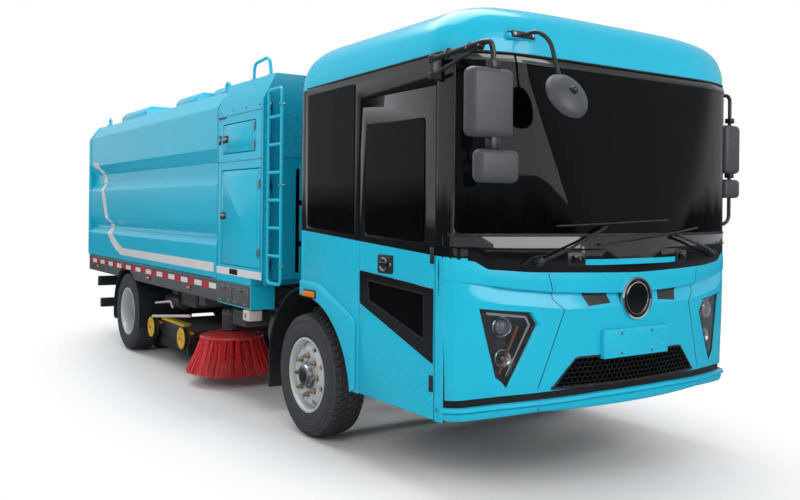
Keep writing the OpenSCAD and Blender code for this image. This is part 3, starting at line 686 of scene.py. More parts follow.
# name: colour, smooth, rough, metallic, coat, grain scale, grain depth (m), waves, dust, dust height, wear, wear colour
FINISHES = {
    "cyan": ((0.012, 0.5, 0.705), 0.2, 0.28, 0, 0.16, 500, 0.000003, 1.2, 0.25, 0.55, 0.25, (0.1, 0.52, 0.66)),
    # a darker copy of the body colour: painted shade on the cabinet's front wall in the gap behind the cab
    "cyan_painted_shade": ((0.008, 0.33, 0.48), 0.24, 0.32, 0, 0.12, 500, 0.000003, 1.2, 0.35, 0.9, 0.3, (0.08, 0.45, 0.58)),
    "pale_cyan": ((0.35, 0.62, 0.7), 0.25, 0.4, 0, 0.4, 420, 0.00002, 1.0, 0.2, 0.6, 0.2, (0.5, 0.7, 0.75)),
    "gloss_black": ((0.004, 0.004, 0.005), 0.04, 0.1, 0, 0.8, 60, 0.00003, 1.0, 0.1, 0.4, 0.1, (0.05, 0.05, 0.05)),
    "trim_black": ((0.018, 0.018, 0.02), 0.28, 0.45, 0, 0.15, 900, 0.0001, 0.2, 0.3, 0.5, 0.3, (0.09, 0.09, 0.09)),
    "mirror_shell": ((0.06, 0.062, 0.068), 0.38, 0.55, 0, 0, 1200, 0.0002, 0.2, 0.0, 0.5, 0.3, (0.14, 0.14, 0.15)),
    "rubber": ((0.012, 0.012, 0.013), 0.55, 0.75, 0, 0, 700, 0.0002, 0.3, 0.3, 0.5, 0.2, (0.05, 0.05, 0.05)),
    "frame_paint": ((0.03, 0.031, 0.034), 0.35, 0.6, 0, 0.1, 300, 0.0002, 0.4, 0.55, 0.9, 0.5, (0.16, 0.15, 0.14)),
    "rail_grey": ((0.085, 0.086, 0.092), 0.3, 0.5, 0, 0.2, 420, 0.0001, 0.5, 0.4, 1.0, 0.4, (0.2, 0.2, 0.2)),
    "tyre": ((0.022, 0.022, 0.024), 0.6, 0.85, 0, 0, 500, 0.0003, 0.3, 0.45, 0.6, 0.35, (0.08, 0.077, 0.072)),
    "wheel_silver": ((0.6, 0.61, 0.63), 0.28, 0.48, 0.7, 0.2, 500, 0.0001, 0.3, 0.35, 0.55, 0.4, (0.75, 0.75, 0.76)),
    "brass": ((0.62, 0.42, 0.16), 0.25, 0.42, 1, 0, 300, 0.0001, 0.2, 0.1, 0.5, 0.4, (0.8, 0.62, 0.3)),
    "zinc": ((0.56, 0.57, 0.58), 0.25, 0.45, 1, 0, 300, 0.0001, 0.2, 0.2, 0.8, 0.4, (0.75, 0.75, 0.75)),
    "chrome": ((0.82, 0.83, 0.85), 0.05, 0.14, 1, 0, 200, 0.00003, 0.2, 0.05, 0.5, 0.2, (0.9, 0.9, 0.9)),
    "yellow": ((0.8, 0.5, 0.012), 0.35, 0.55, 0, 0.1, 300, 0.0002, 0.4, 0.4, 0.5, 0.5, (0.35, 0.26, 0.1)),
    "bristle_red": ((0.72, 0.02, 0.03), 0.4, 0.6, 0, 0, 250, 0.0002, 0.3, 0.2, 0.35, 0.3, (0.85, 0.25, 0.22)),
    "disc_red": ((0.6, 0.018, 0.026), 0.3, 0.5, 0, 0.3, 300, 0.0001, 0.4, 0.3, 0.6, 0.4, (0.75, 0.3, 0.25)),
    "tape_red": ((0.62, 0.01, 0.03), 0.2, 0.35, 0, 0.5, 900, 0.0001, 0.1, 0.2, 1.1, 0.1, (0.7, 0.3, 0.3)),
    "tape_white": ((0.8, 0.8, 0.79), 0.22, 0.38, 0, 0.5, 900, 0.0001, 0.1, 0.2, 1.1, 0.1, (0.9, 0.9, 0.9)),
    "stripe_white": ((0.78, 0.76, 0.75), 0.25, 0.4, 0, 0.5, 420, 0.00005, 0.4, 0.15, 1.2, 0.1, (0.6, 0.75, 0.8)),
    "pipe_white": ((0.62, 0.52, 0.5), 0.35, 0.55, 0, 0.1, 300, 0.0001, 0.3, 0.3, 0.6, 0.3, (0.7, 0.65, 0.6)),
    "lens_amber": ((0.85, 0.2, 0.01), 0.08, 0.2, 0, 0.8, 120, 0.0001, 0.1, 0.1, 0.8, 0.1, (0.9, 0.5, 0.1)),
    "lens_red": ((0.55, 0.008, 0.01), 0.08, 0.2, 0, 0.8, 120, 0.0001, 0.1, 0.1, 0.8, 0.1, (0.7, 0.2, 0.2)),
    "lens_clear": ((0.42, 0.45, 0.48), 0.05, 0.15, 0.3, 0.8, 80, 0.0002, 0.1, 0.05, 0.8, 0.1, (0.6, 0.6, 0.6)),
    "reflector": ((0.75, 0.77, 0.8), 0.08, 0.2, 1, 0, 160, 0.0002, 0.1, 0.0, 0.5, 0.1, (0.8, 0.8, 0.8)),
    "bezel": ((0.028, 0.03, 0.034), 0.15, 0.3, 0.2, 0.5, 300, 0.0001, 0.1, 0.0, 0.5, 0.2, (0.12, 0.12, 0.13)),
    "cabin_plastic": ((0.075, 0.076, 0.08), 0.5, 0.7, 0, 0, 1500, 0.0003, 0.2, 0.0, 0.5, 0.2, (0.14, 0.14, 0.14)),
    "headliner": ((0.3, 0.3, 0.3), 0.75, 0.95, 0, 0, 1800, 0.0004, 0.2, 0.0, 0.5, 0.1, (0.35, 0.35, 0.35)),
    "mirror_glass": ((0.7, 0.73, 0.76), 0.02, 0.06, 1, 0, 60, 0.00001, 0.2, 0.0, 0.5, 0.0, (0.8, 0.8, 0.8)),
    "hose": ((0.02, 0.02, 0.022), 0.45, 0.6, 0, 0, 600, 0.0002, 0.2, 0.4, 0.8, 0.3, (0.07, 0.07, 0.07)),
    "cable_orange": ((0.8, 0.22, 0.015), 0.4, 0.6, 0, 0, 600, 0.0002, 0.2, 0.3, 0.8, 0.2, (0.8, 0.4, 0.2)),
    "battery_grey": ((0.16, 0.17, 0.18), 0.35, 0.55, 0.2, 0.1, 300, 0.0002, 0.4, 0.5, 0.9, 0.4, (0.3, 0.3, 0.3)),
}
SHINE = {"cyan": 0.4, "cyan_painted_shade": 0.32, "gloss_black": 0.45, "trim_black": 0.35, "stripe_white": 0.35}
GRAIN, WEATHER = make_grain(), make_weather()


def principled(material, **inputs):
    """A material's bare tree with its Principled shader set to the inputs"""
    tree = material.node_tree
    tree.nodes.clear()
    shader = tree.nodes.new("ShaderNodeBsdfPrincipled")
    out = tree.nodes.new("ShaderNodeOutputMaterial")
    tree.links.new(shader.outputs[0], out.inputs[0])
    for key, value in inputs.items():
        shader.inputs[key.replace("_", " ")].default_value = value
    return tree, shader


def finish(name):
    """The material of that name, made the first time that it is asked for"""
    material = bpy.data.materials.get(name)
    if material:
        return material
    material = bpy.data.materials.new(name)
    material.use_nodes = True
    if name in SPECIAL:
        SPECIAL[name](material)
        return material
    colour, smooth, rough, metallic, coat, scale, depth, waves, dust, dust_z, wear, wear_colour = FINISHES[name]
    tree, shader = principled(material, Metallic=float(metallic), Coat_Weight=float(coat), Coat_Roughness=0.04,
                              Specular_IOR_Level=SHINE.get(name, 0.5))
    skin = add(tree, "ShaderNodeGroup", node_tree=WEATHER)
    for key, value in (("Color", (*colour, 1)), ("Drift", 0.12), ("Dust", dust), ("Dust Height", dust_z),
                       ("Wear", wear), ("Wear Color", (*wear_colour, 1)), ("Smooth", smooth), ("Rough", rough)):
        skin.inputs[key].default_value = value
    relief = add(tree, "ShaderNodeGroup", node_tree=GRAIN)
    relief.inputs["Scale"].default_value = scale
    relief.inputs["Waves"].default_value = waves
    bump = add(tree, "ShaderNodeBump", {"Height": relief.outputs[0], "Distance": depth, "Strength": 1.0})
    tree.links.new(skin.outputs["Color"], shader.inputs["Base Color"])
    tree.links.new(skin.outputs["Roughness"], shader.inputs["Roughness"])
    tree.links.new(bump.outputs[0], shader.inputs["Normal"])
    return material


def tinted_glass(material):
    """Dark privacy glass with a faint film of road dust"""
    tree, shader = principled(material, Base_Color=(0.01, 0.012, 0.014, 1), IOR=1.22, Transmission_Weight=0.85,
                              Specular_IOR_Level=0.2)
    place = add(tree, "ShaderNodeTexCoord").outputs["Object"]
    film = add(tree, "ShaderNodeTexNoise", {"Vector": place, "Scale": 5.0, "Detail": 6.0})
    tree.links.new(mixed(tree, between(tree, film.outputs[0], 0.45, 0.8), (0.008, 0.01, 0.012, 1),
                         (0.016, 0.018, 0.019, 1)), shader.inputs["Base Color"])
    rough = add(tree, "ShaderNodeMapRange", {0: film.outputs[0], 1: 0.3, 2: 0.8, 3: 0.01, 4: 0.07})
    tree.links.new(rough.outputs[0], shader.inputs["Roughness"])
    relief = add(tree, "ShaderNodeTexNoise", {"Vector": place, "Scale": 1.6, "Detail": 0.0})
    bump = add(tree, "ShaderNodeBump", {"Height": relief.outputs[0], "Distance": 0.0008, "Strength": 1.0})
    tree.links.new(bump.outputs[0], shader.inputs["Normal"])


def lamp_glass(material):
    """Smoked clear cover of the headlamps"""
    tree, shader = principled(material, Base_Color=(0.55, 0.57, 0.6, 1), IOR=1.45, Transmission_Weight=1.0)
    place = add(tree, "ShaderNodeTexCoord").outputs["Object"]
    film = add(tree, "ShaderNodeTexNoise", {"Vector": place, "Scale": 18.0, "Detail": 4.0})
    tree.links.new(mixed(tree, film.outputs[0], (0.42, 0.44, 0.47, 1), (0.56, 0.58, 0.6, 1)),
                   shader.inputs["Base Color"])
    rough = add(tree, "ShaderNodeMapRange", {0: film.outputs[0], 1: 0.3, 2: 0.8, 3: 0.0, 4: 0.04})
    tree.links.new(rough.outputs[0], shader.inputs["Roughness"])
    bump = add(tree, "ShaderNodeBump", {"Height": film.outputs[0], "Distance": 0.0001, "Strength": 0.6})
    tree.links.new(bump.outputs[0], shader.inputs["Normal"])


def woven_cloth(material):
    """Dark seat cloth: a plain weave with a melange of two yarns"""
    tree, shader = principled(material, Sheen_Weight=0.35, Sheen_Roughness=0.5)
    place = add(tree, "ShaderNodeTexCoord").outputs["Object"]
    warp = add(tree, "ShaderNodeTexWave", {"Vector": place, "Scale": 260.0, "Distortion": 0.6}, bands_direction="Y")
    weft = add(tree, "ShaderNodeTexWave", {"Vector": place, "Scale": 260.0, "Distortion": 0.6}, bands_direction="Z")
    weave = maths(tree, "MULTIPLY", warp.outputs["Fac"], weft.outputs["Fac"])
    yarn = add(tree, "ShaderNodeTexNoise", {"Vector": place, "Scale": 420.0, "Detail": 2.0})
    tone = mixed(tree, yarn.outputs[0], (0.02, 0.021, 0.024, 1), (0.085, 0.088, 0.095, 1))
    tree.links.new(mixed(tree, maths(tree, "MULTIPLY", weave, 0.5), tone, (0.16, 0.165, 0.175, 1)),
                   shader.inputs["Base Color"])
    tree.links.new(maths(tree, "ADD", 0.72, maths(tree, "MULTIPLY", weave, 0.2)), shader.inputs["Roughness"])
    bump = add(tree, "ShaderNodeBump", {"Height": weave, "Distance": 0.0008, "Strength": 0.8})
    tree.links.new(bump.outputs[0], shader.inputs["Normal"])


SPECIAL = {"tinted_glass": tinted_glass, "lamp_glass": lamp_glass, "seat_cloth": woven_cloth}


def coat(material, *nodes):
    """Gives carried-over frame parts their finish"""
    for node in nodes:
        for slot in frame["nodes"][node].material_slots:
            slot.material = finish(material)


def table(value, points):
    """A straight-line reading between (value, result) points"""
    if value <= points[0][0]:
        return points[0][1]
    for (a, low), (b, high) in zip(points, points[1:]):
        if value <= b:
            return low + (high - low) * (value - a) / (b - a)
    return points[-1][1]


def flip(outline):
    """The outline mirrored across its upright axis"""
    return [(-p[0], p[1]) for p in outline]


# ---- Cab ----

BELT_SIDE = (Vector((1.878, 0, 1.445)), Vector((0.0629, 0, 1)))      # the slope where black meets colour
NOSE_TOP = [(0, 1.245), (0.75, 1.262), (0.99, 1.28), (1.06, 1.323), (1.186, 1.34), (1.2, 1.341)]
FIRST_CREASE = [(0, 1.124), (0.3, 1.132), (0.6, 1.145), (0.8, 1.165), (1.03, 1.195), (1.165, 1.214), (1.2, 1.218)]
SECOND_CREASE = [(0, 1.043), (0.53, 1.043), (0.92, 1.084), (1.08, 1.112), (1.13, 1.13), (1.165, 1.195), (1.2, 1.2)]
LIP = [(0, 0.546), (0.282, 0.544), (0.695, 0.528), (0.915, 0.521), (1.061, 0.512), (1.2, 0.5)]
NOSE_BOTTOM = [(0, 0.484), (0.69, 0.484), (1.2, 0.45)]
NOSE_S = 1.2548                                                      # the panel ends this far round
LAMP = [(1.03, 1.06), (0.75, 1.03), (0.712, 0.968), (0.885, 0.63), (0.935, 0.69)]
LAMP_POCKET = [(1.04, 1.072), (0.722, 1.05), (0.65, 0.962), (0.846, 0.606), (0.948, 0.68)]
GRILLE = [(-0.6, 0.612), (-0.45, 0.775), (0.45, 0.775), (0.6, 0.612)]
PLATE = (-0.275, 0.275, 0.755, 0.92)


def nose_profile(y):
    """The nose panel's outer line at y off the centre, as (height, lift) from the top down"""
    y = abs(y)
    top, first, second = table(y, NOSE_TOP), table(y, FIRST_CREASE), table(y, SECOND_CREASE)
    lip, bottom = table(y, LIP), table(y, NOSE_BOTTOM)
    under = 0.026 * min(max((1.14 - y) / 0.22, 0), 1)
    out = 0.004 * min(max((1.16 - y) / 0.2, 0), 1)
    return [(top + 0.001, -0.014), (top - 0.004, 0.001), ((top + first) / 2, 0.0045), (first + 0.01, 0.0045),
            (first + 0.003, 0.003), (first, 0), (first - 0.006, -under), ((first + second) / 2, (out - under) / 2),
            (second + 0.008, out), (second, out), (second - 0.01, out * 0.6), (second - 0.08, -0.001),
            (0.9, -0.003), (0.8, -0.006), (0.7, -0.009), (0.64, -0.011), (lip + 0.07, -0.012),
            (lip + 0.064, -0.014), (lip + 0.062, -0.024), (lip + 0.03, -0.024), (lip + 0.027, -0.004),
            (lip + 0.022, 0.01), (lip + 0.004, 0.013), (lip, 0.009), (lip - 0.003, -0.006), (lip - 0.009, -0.004),
            (lip - 0.012, 0.0), ((lip + bottom) / 2, -0.002), (bottom + 0.014, -0.006), (bottom + 0.004, -0.012),
            (bottom, -0.022)]


STRIP_ROWS = (17, 18, 19)                                            # the rows of the profile that are black trim


def on_nose_panel(u, v, d):
    """A place on the finished nose panel, u metres round and v high"""
    y = abs(around(u).y)
    line = [(z, lift) for z, lift in reversed(nose_profile(y))]
    return around(u, v, table(v, line) + d)


def nose_shell():
    """The moulded front panel with its creases, lamp pockets and grille mouth"""
    rows, count = [], 128
    for i in range(count + 1):
        s = -NOSE_S + 2 * NOSE_S * i / count
        y = around(s).y
        outer = nose_profile(y)
        inner = [(outer[-1][0], -0.05), (0.7, -0.05), (0.95, -0.05), (outer[0][0], -0.05)]
        rows.append([around(s, z, lift) for z, lift in outer + inner])
    wide = len(rows[0])
    shell = sheet_of(rows, "cyan", closed=True)
    mesh = bmesh.new()
    mesh.from_mesh(shell.data)
    mesh.verts.ensure_lookup_table()
    for face in mesh.faces:
        if face.index % wide in STRIP_ROWS:
            face.material_index = 1
    for start in (0, count * wide):
        mesh.faces.new([mesh.verts[start + i] for i in range(wide)])
    bmesh.ops.recalc_face_normals(mesh, faces=mesh.faces)
    mesh.to_mesh(shell.data)
    mesh.free()
    shell.data.materials.append(finish("trim_black"))
    cutters = []
    for hand in BOTH_SIDES:
        outer = [(hand * y, z) for y, z in LAMP_POCKET]
        inner = [(hand * y, z) for y, z in LAMP]
        rings = [[around(s_of(y), z, 0.03) + (around(s_of(y), z, 0.03) - around(s_of(q[0]), q[1], -0.028)) * 0.1
                  for (y, z), q in zip(outer, inner)],
                 [around(s_of(y), z, -0.028) for y, z in inner], [around(s_of(y), z, -0.09) for y, z in inner]]
        cutter = sheet_of(rings, "cyan", closed=True)
        cutters.append(capped(cutter, len(inner), 3))
    cutters.append(prism(GRILLE, "X", 3.3, 4.0, "trim_black", edge=0, corner=0.03))
    cut(shell, *cutters)
    return shell


def capped(obj, wide, rows):
    """Closes both ends of a sheet rolled into a tube"""
    mesh = bmesh.new()
    mesh.from_mesh(obj.data)
    mesh.verts.ensure_lookup_table()
    for start in (0, (rows - 1) * wide):
        mesh.faces.new([mesh.verts[start + i] for i in range(wide)])
    bmesh.ops.recalc_face_normals(mesh, faces=mesh.faces)
    mesh.to_mesh(obj.data)
    mesh.free()
    return obj


def ribbon(path, surface, width, thick, lift, material):
    """A narrow strip that follows (u, v) points over a surface"""
    fine = []
    for (u0, v0), (u1, v1) in zip(path, path[1:]):
        count = max(1, round(math.hypot(u1 - u0, v1 - v0) / 0.012))
        fine += [(u0 + (u1 - u0) * i / count, v0 + (v1 - v0) * i / count) for i in range(count)]
    fine.append(path[-1])
    rows = []
    for i, (u, v) in enumerate(fine):
        a, b = fine[max(i - 1, 0)], fine[min(i + 1, len(fine) - 1)]
        along = Vector((b[0] - a[0], b[1] - a[1])).normalized()
        across = Vector((-along.y, along.x)) * width / 2
        rows.append([surface(u + across.x, v + across.y, lift), surface(u - across.x, v - across.y, lift),
                     surface(u - across.x, v - across.y, lift - thick),
                     surface(u + across.x, v + across.y, lift - thick)])
    return capped(sheet_of(rows, material, closed=True), 4, len(rows))


def in_outline(u, v, outline, margin=0.0):
    """True if a point lies inside a convex outline, at least margin from its sides"""
    sides = [((q[0] - p[0]) * (v - p[1]) - (q[1] - p[1]) * (u - p[0])) / math.hypot(q[0] - p[0], q[1] - p[1])
             for p, q in zip(outline, outline[1:] + outline[:1])]
    return all(s >= margin for s in sides) or all(-s >= margin for s in sides)


def honeycomb():
    """Six-sided cells laid over the grille mouth, each with a sloped lower lip"""
    radius, wall, points, faces = 0.0225, 0.0042, [], []
    step_u, step_v = radius * 1.62, radius * 1.18
    row = 0
    v = 0.622
    while v < 0.775:
        u = -0.62 + (row % 2) * step_u / 2
        while u < 0.62:
            if in_outline(u, v, GRILLE, 0.01):
                start = len(points)
                for lift, size in ((-0.03, radius), (-0.012, radius), (-0.012, radius - wall),
                                   (-0.034, radius - wall * 2.2)):
                    for k in range(6):
                        a = math.radians(60 * k + 30)
                        points.append(around(u + math.cos(a) * size * 0.98, v + math.sin(a) * size * 0.74, lift))
                for ring in range(3):
                    for k in range(6):
                        n = (k + 1) % 6
                        faces.append((start + ring * 6 + k, start + ring * 6 + n,
                                      start + ring * 6 + 6 + n, start + ring * 6 + 6 + k))
                for k in range(6):
                    n = (k + 1) % 6
                    faces.append((start + 18 + k, start + 18 + n, start + n, start + k))
            u += step_u
        v += step_v
        row += 1
    mesh = drawn(points, faces, "gloss_black")
    return fixed(mesh)


def fixed(obj):
    """Merges doubles and turns every face outwards"""
    active(obj)
    editing_all()
    bpy.ops.mesh.remove_doubles(threshold=0.00001)
    face_out()
    return obj


def nose_details():
    """Grille, trim, emblem disc, plate pad, panel seams and air slots"""
    comb = [honeycomb(),
            wrapped([(p[0] * 1.03, p[1] + (0.012 if p[1] > 0.7 else -0.012)) for p in GRILLE], on_nose, -0.046, 0.004,
                    "trim_black"),
            wrapped([(-0.44, 0.766), (-0.44, 0.779), (0.44, 0.779), (0.44, 0.766)], on_nose, -0.004, 0.03,
                    "trim_black", edge=0.002),
            ribbon([(-0.612, 0.611), (0.612, 0.611)], on_nose, 0.014, 0.03, -0.003, "trim_black")]
    for hand in BOTH_SIDES:
        comb.append(ribbon([(hand * 0.605, 0.61), (hand * 0.452, 0.772)], on_nose, 0.012, 0.03, -0.005, "trim_black"))
        comb.append(ribbon([(hand * 0.606, 0.617), (hand * 0.457, 0.778)], on_nose_panel, 0.006, 0.006, 0.003, "cyan"))
    piece("grille", "chassis", comb)
    seams = []
    for hand in BOTH_SIDES:
        path = [(0.64, 1.258), (0.6, 1.1), (0.533, 1.045), (0.55, 1.0), (0.69, 0.615)]
        seams.append(ribbon([(hand * s_of(y), z) for y, z in path], on_nose_panel, 0.0045, 0.002, 0.0008, "trim_black"))
        seams.append(ribbon([(hand * s_of(0.69), 0.585), (hand * s_of(0.69), 0.488)], on_nose_panel, 0.0045, 0.002,
                            0.0008, "trim_black"))
        slot = [(0.206, 1.072), (0.225, 1.128), (0.41, 1.134), (0.372, 1.06)]
        slot = [(hand * u, v) for u, v in slot]
        seams.append(wrapped(slot, on_nose_panel, 0.0012, 0.003, "trim_black", step=0.02,
                             rows=(1.08, 1.09, 1.1, 1.11, 1.12)))
        seams.append(ribbon([(hand * s_of(1.196), 1.33), (hand * s_of(1.196), 0.47)], on_nose_panel, 0.004, 0.002,
                            0.0008, "trim_black"))
    piece("nose_seams", "chassis", seams)
    centre = (around(0, 1.09).x - 0.012, 0, 1.09)
    disc = lathe([(0.0, 0.0), (0.124, 0.0), (0.124, 0.018), (0.118, 0.024), (0.108, 0.024), (0.104, 0.02),
                  (0.06, 0.023), (0.0, 0.024)], centre, AHEAD, "gloss_black", 64)
    ring = lathe([(0.1245, 0.004), (0.127, 0.01), (0.126, 0.022), (0.121, 0.0285), (0.114, 0.0275), (0.111, 0.022),
                  (0.117, 0.018)], centre, AHEAD, "chrome", 64)
    inner = lathe([(0.097, 0.02), (0.0955, 0.0245), (0.092, 0.0252), (0.0905, 0.021)], centre, AHEAD, "chrome", 64)
    piece("emblem_disc", "chassis", [disc, ring, inner])
    pad = block((NOSE_X - 0.03, PLATE[0], PLATE[2]), (NOSE_X + 0.012, PLATE[1], PLATE[3]), "cyan", 0.006, 3)
    bolts = [hex_bolt((NOSE_X + 0.0118, y, z), AHEAD, 0.0075, "zinc", 0.45)
             for y in (-0.13, 0.13) for z in (0.78, 0.895)]
    piece("plate_pad", "chassis", [pad] + bolts)


def headlamp_unit():
    """A headlamp: housing, projector, reflector bowl, light bar and clear cover"""
    outline = flip(LAMP)
    as_u = [(s_of(y), z) for y, z in outline]
    bowl = wrapped(as_u, on_nose, -0.075, 0.006, "bezel", rows=(0.75, 0.85, 0.95))
    parts = [bowl]
    frame_path = as_u + as_u[:1]
    parts.append(ribbon(frame_path, on_nose, 0.016, 0.075, -0.02, "bezel"))
    middle = around(s_of(-0.895), 0.958, -0.05)
    facing = Vector((1, -0.22, 0)).normalized()
    parts += [lathe([(0.058, -0.03), (0.06, 0.012), (0.055, 0.018), (0.046, 0.006), (0.04, -0.02), (0.0, -0.03)],
                    middle, facing, "chrome", 36),
              lathe([(0.0, -0.02), (0.039, -0.016), (0.036, 0.004), (0.024, 0.016), (0.01, 0.021), (0.0, 0.0215)],
                    middle, facing, "lens_clear", 36)]
    lower = around(s_of(-0.885), 0.785, -0.052)
    parts += [lathe([(0.05, -0.02), (0.052, 0.008), (0.047, 0.012), (0.03, -0.006), (0.0, -0.014)], lower, facing,
                    "reflector", 36),
              lathe([(0.0, -0.012), (0.012, -0.01), (0.012, 0.006), (0.007, 0.01), (0.0, 0.011)], lower, facing,
                    "lens_clear", 20)]
    bar = [(-0.985, 1.035), (-0.76, 1.01), (-0.737, 0.966), (-0.87, 0.69)]
    parts.append(ribbon([(s_of(y), z) for y, z in bar], on_nose, 0.014, 0.012, -0.034, "reflector"))
    parts.append(ribbon([(s_of(-0.8), 0.955), (s_of(-0.905), 0.7)], on_nose, 0.01, 0.01, -0.046, "lens_amber"))
    for k in range(5):
        z = 0.73 + k * 0.022
        parts.append(ribbon([(s_of(-0.918), z), (s_of(-0.848), z - 0.006)], on_nose, 0.004, 0.02, -0.05, "bezel"))
    cover = wrapped([(u * 0.998, v) for u, v in as_u], on_nose, -0.016, 0.004, "lamp_glass",
                    rows=(0.7, 0.78, 0.86, 0.94, 1.02))
    parts.append(ribbon(frame_path, on_nose, 0.009, 0.01, -0.013, "trim_black"))
    pair("headlamp_*", "chassis", parts, ["headlamps"])
    pair("headlamp_cover_*", "chassis", [cover])


def cab_shell():
    """Cab skin, black from the belt up, with its inner trim"""
    shell = joined([of_node("cab_sides", "cyan", 0.004), of_node("windscreen_frame", "cyan", 0.003),
                    of_node("cab_rear_wall", "cyan", 0.003)])
    split_at(shell, *BELT_SIDE)
    split_at(shell, (0, 0, 2.404), (0, 0, 1))
    point, normal = BELT_SIDE

    def outer(c):
        return abs(c.y) > 1.185 or c.x > around(s_of(max(min(c.y, 1.19), -1.19)), c.z, -0.03).x or c.x < 1.876

    paint(shell, "cabin_plastic", lambda c, n: not outer(c))
    paint(shell, "gloss_black", lambda c, n: outer(c) and (c - point).dot(normal) > 0)
    paint(shell, "rubber", lambda c, n: not outer(c) and abs(c.y) > 1.148 and abs(n.y) < 0.5)
    seams = []
    for hand in BOTH_SIDES:
        for z in (1.452, 1.78, 2.12):
            seams.append(block((1.872, hand * 1.1995, z), (1.918, hand * 1.2006, z + 0.004), "trim_black", 0))
        seams.append(rod((1.95, hand * 1.2005, 2.421), (3.5, hand * 1.2005, 2.447), 0.007, "trim_black", 8))
    piece("cab_body", "chassis", [shell] + seams,
          ["cab_sides", "windscreen_frame", "cab_rear_wall", "front_panel"])


def side_windows():
    """Bonded quarter windows behind the doors"""
    outline = [(1.965, 1.47), (2.588, 1.432), (2.588, 2.385), (1.965, 2.375)]
    pane = wrapped(outline, on_cab_side, 0.0045, 0.005, "tinted_glass", step=0, corner=0.028, edge=0.001, rings=1)
    inner = [(2.015, 1.522), (2.54, 1.492), (2.54, 2.33), (2.015, 2.322)]
    rim = wrapped(inner, on_cab_side, -0.0005, 0.004, "rubber", step=0, corner=0.03)
    rim = cut(rim, prism([(u + (0.012 if u < 2.2 else -0.012), v + (0.012 if v < 2 else -0.012)) for u, v in inner],
                         "Y", -1.3, -1.1, "rubber", edge=0, corner=0.022))
    pair("quarter_window_*", "chassis", [pane, rim], ["cab_glass"])


def windscreen():
    """Wrapped windscreen, its gasket, the black cowl below and the wipers"""
    edge = s_of(1.16)
    glass = wrapped(oblong(-edge, 1.47, edge, 2.405), on_nose, -0.002, 0.006, "tinted_glass",
                    corner=0.045, rows=[1.47 + 0.0935 * i for i in range(1, 10)])
    piece("windscreen", "chassis", [glass])
    lower = [(s_of(y), table(abs(y), NOSE_TOP) - 0.012) for y in [-1.19 + 2.38 * i / 48 for i in range(49)]]
    cowl = wrapped(lower + [(s_of(1.19), 1.455), (s_of(-1.19), 1.455)], on_nose, 0.0005, 0.016, "gloss_black",
                   edge=0.002)
    sill = ribbon([(-edge - 0.03, 1.462), (edge + 0.03, 1.462)], on_nose, 0.016, 0.014, 0.004, "trim_black")
    ledge = ribbon([(-edge - 0.02, 1.395), (-0.9, 1.385), (-0.4, 1.38), (0.4, 1.38), (0.9, 1.385),
                    (edge + 0.02, 1.395)], on_nose, 0.01, 0.006, 0.006, "gloss_black")
    head = ribbon([(-edge, 2.412), (edge, 2.412)], on_nose, 0.014, 0.012, 0.002, "trim_black")
    parts = [cowl, sill, ledge, head]
    for hand in BOTH_SIDES:
        parts.append(ribbon([(hand * (edge + 0.006), 1.47), (hand * (edge + 0.006), 2.405)], on_nose, 0.01, 0.01,
                            0.001, "trim_black"))
        u, v = hand * 0.45 - 0.01, 1.325
        parts += [wrapped(oblong(u - 0.062, v - 0.038, u + 0.062, v + 0.04),
                          on_nose, 0.005, 0.006, "trim_black", corner=0.008, edge=0.0015),
                  wrapped(oblong(u - 0.03, v - 0.018, u + 0.04, v + 0.024),
                          on_nose, 0.02, 0.016, "gloss_black", corner=0.006, edge=0.003),
                  lathe([(0.0, 0), (0.011, 0), (0.011, 0.006), (0.005, 0.009), (0, 0.009)],
                        around(u + 0.012, v, 0.019), AHEAD, "trim_black", 16)]
    piece("cowl", "chassis", parts)


def wiper(pivot, elbow, blade):
    """One wiper: spindle cap, tapered arm, blade carrier and rubber"""
    def at(y, z, lift):
        return around(s_of(y), z, lift)
    base = at(*pivot, 0.0)
    out = (at(*pivot, 0.05) - base).normalized()
    parts = [lathe([(0.0, 0.0), (0.03, 0.0), (0.028, 0.02), (0.02, 0.034), (0.0, 0.036)], base, out, "trim_black", 20)]
    mid = at(pivot[0] + (elbow[0] - pivot[0]) * 0.3, pivot[1] + (elbow[1] - pivot[1]) * 0.3, 0.05)
    parts.append(tube([base + out * 0.026, mid, at(*elbow, 0.036)], 0.0085, "trim_black", 0.05, 1))
    parts.append(tube([mid - out * 0.012, at(pivot[0] + (elbow[0] - pivot[0]) * 0.62,
                                               pivot[1] + (elbow[1] - pivot[1]) * 0.62, 0.03)], 0.004, "zinc", 0, 1))
    a, b = blade
    def along(t, lift):
        return at(a[0] + (b[0] - a[0]) * t, a[1] + (b[1] - a[1]) * t, lift)
    parts.append(tube([along(i / 8, 0.012 + 0.014 * math.sin(math.pi * i / 8)) for i in range(9)], 0.006,
                      "trim_black", 0, 1))
    parts.append(tube([along(i / 12, 0.006) for i in range(13)], 0.0035, "rubber", 0, 1))
    for t in (0.2, 0.35, 0.65, 0.8):
        parts.append(rod(along(t, 0.004), along(t, 0.024), 0.005, "trim_black", 6))
    parts.append(rod(at(*elbow, 0.04), at(*elbow, 0.012), 0.01, "trim_black", 10, 0.002))
    return parts


def wipers():
    """Both wipers and their hoses"""
    shapes = wiper((-0.7, 1.315), (-0.27, 1.505), ((-0.6, 1.512), (0.295, 1.548)))
    shapes += wiper((0.86, 1.325), (0.36, 1.455), ((0.62, 1.5), (-0.3, 1.41)))
    for path in ([(-0.8, 1.3), (-0.74, 1.345), (-0.66, 1.352)], [(0.95, 1.335), (0.8, 1.36), (0.62, 1.41)]):
        shapes.append(tube([around(s_of(y), z, 0.016) for y, z in path], 0.0035, "rubber", 0.03, 1))
    piece("wipers", "chassis", shapes)


ROOF_CURVE = [(0, -0.004), (0.12, -0.003), (0.25, 0.004), (0.5, 0.034), (0.72, 0.1), (0.87, 0.2), (0.95, 0.32),
              (1, 0.62)]


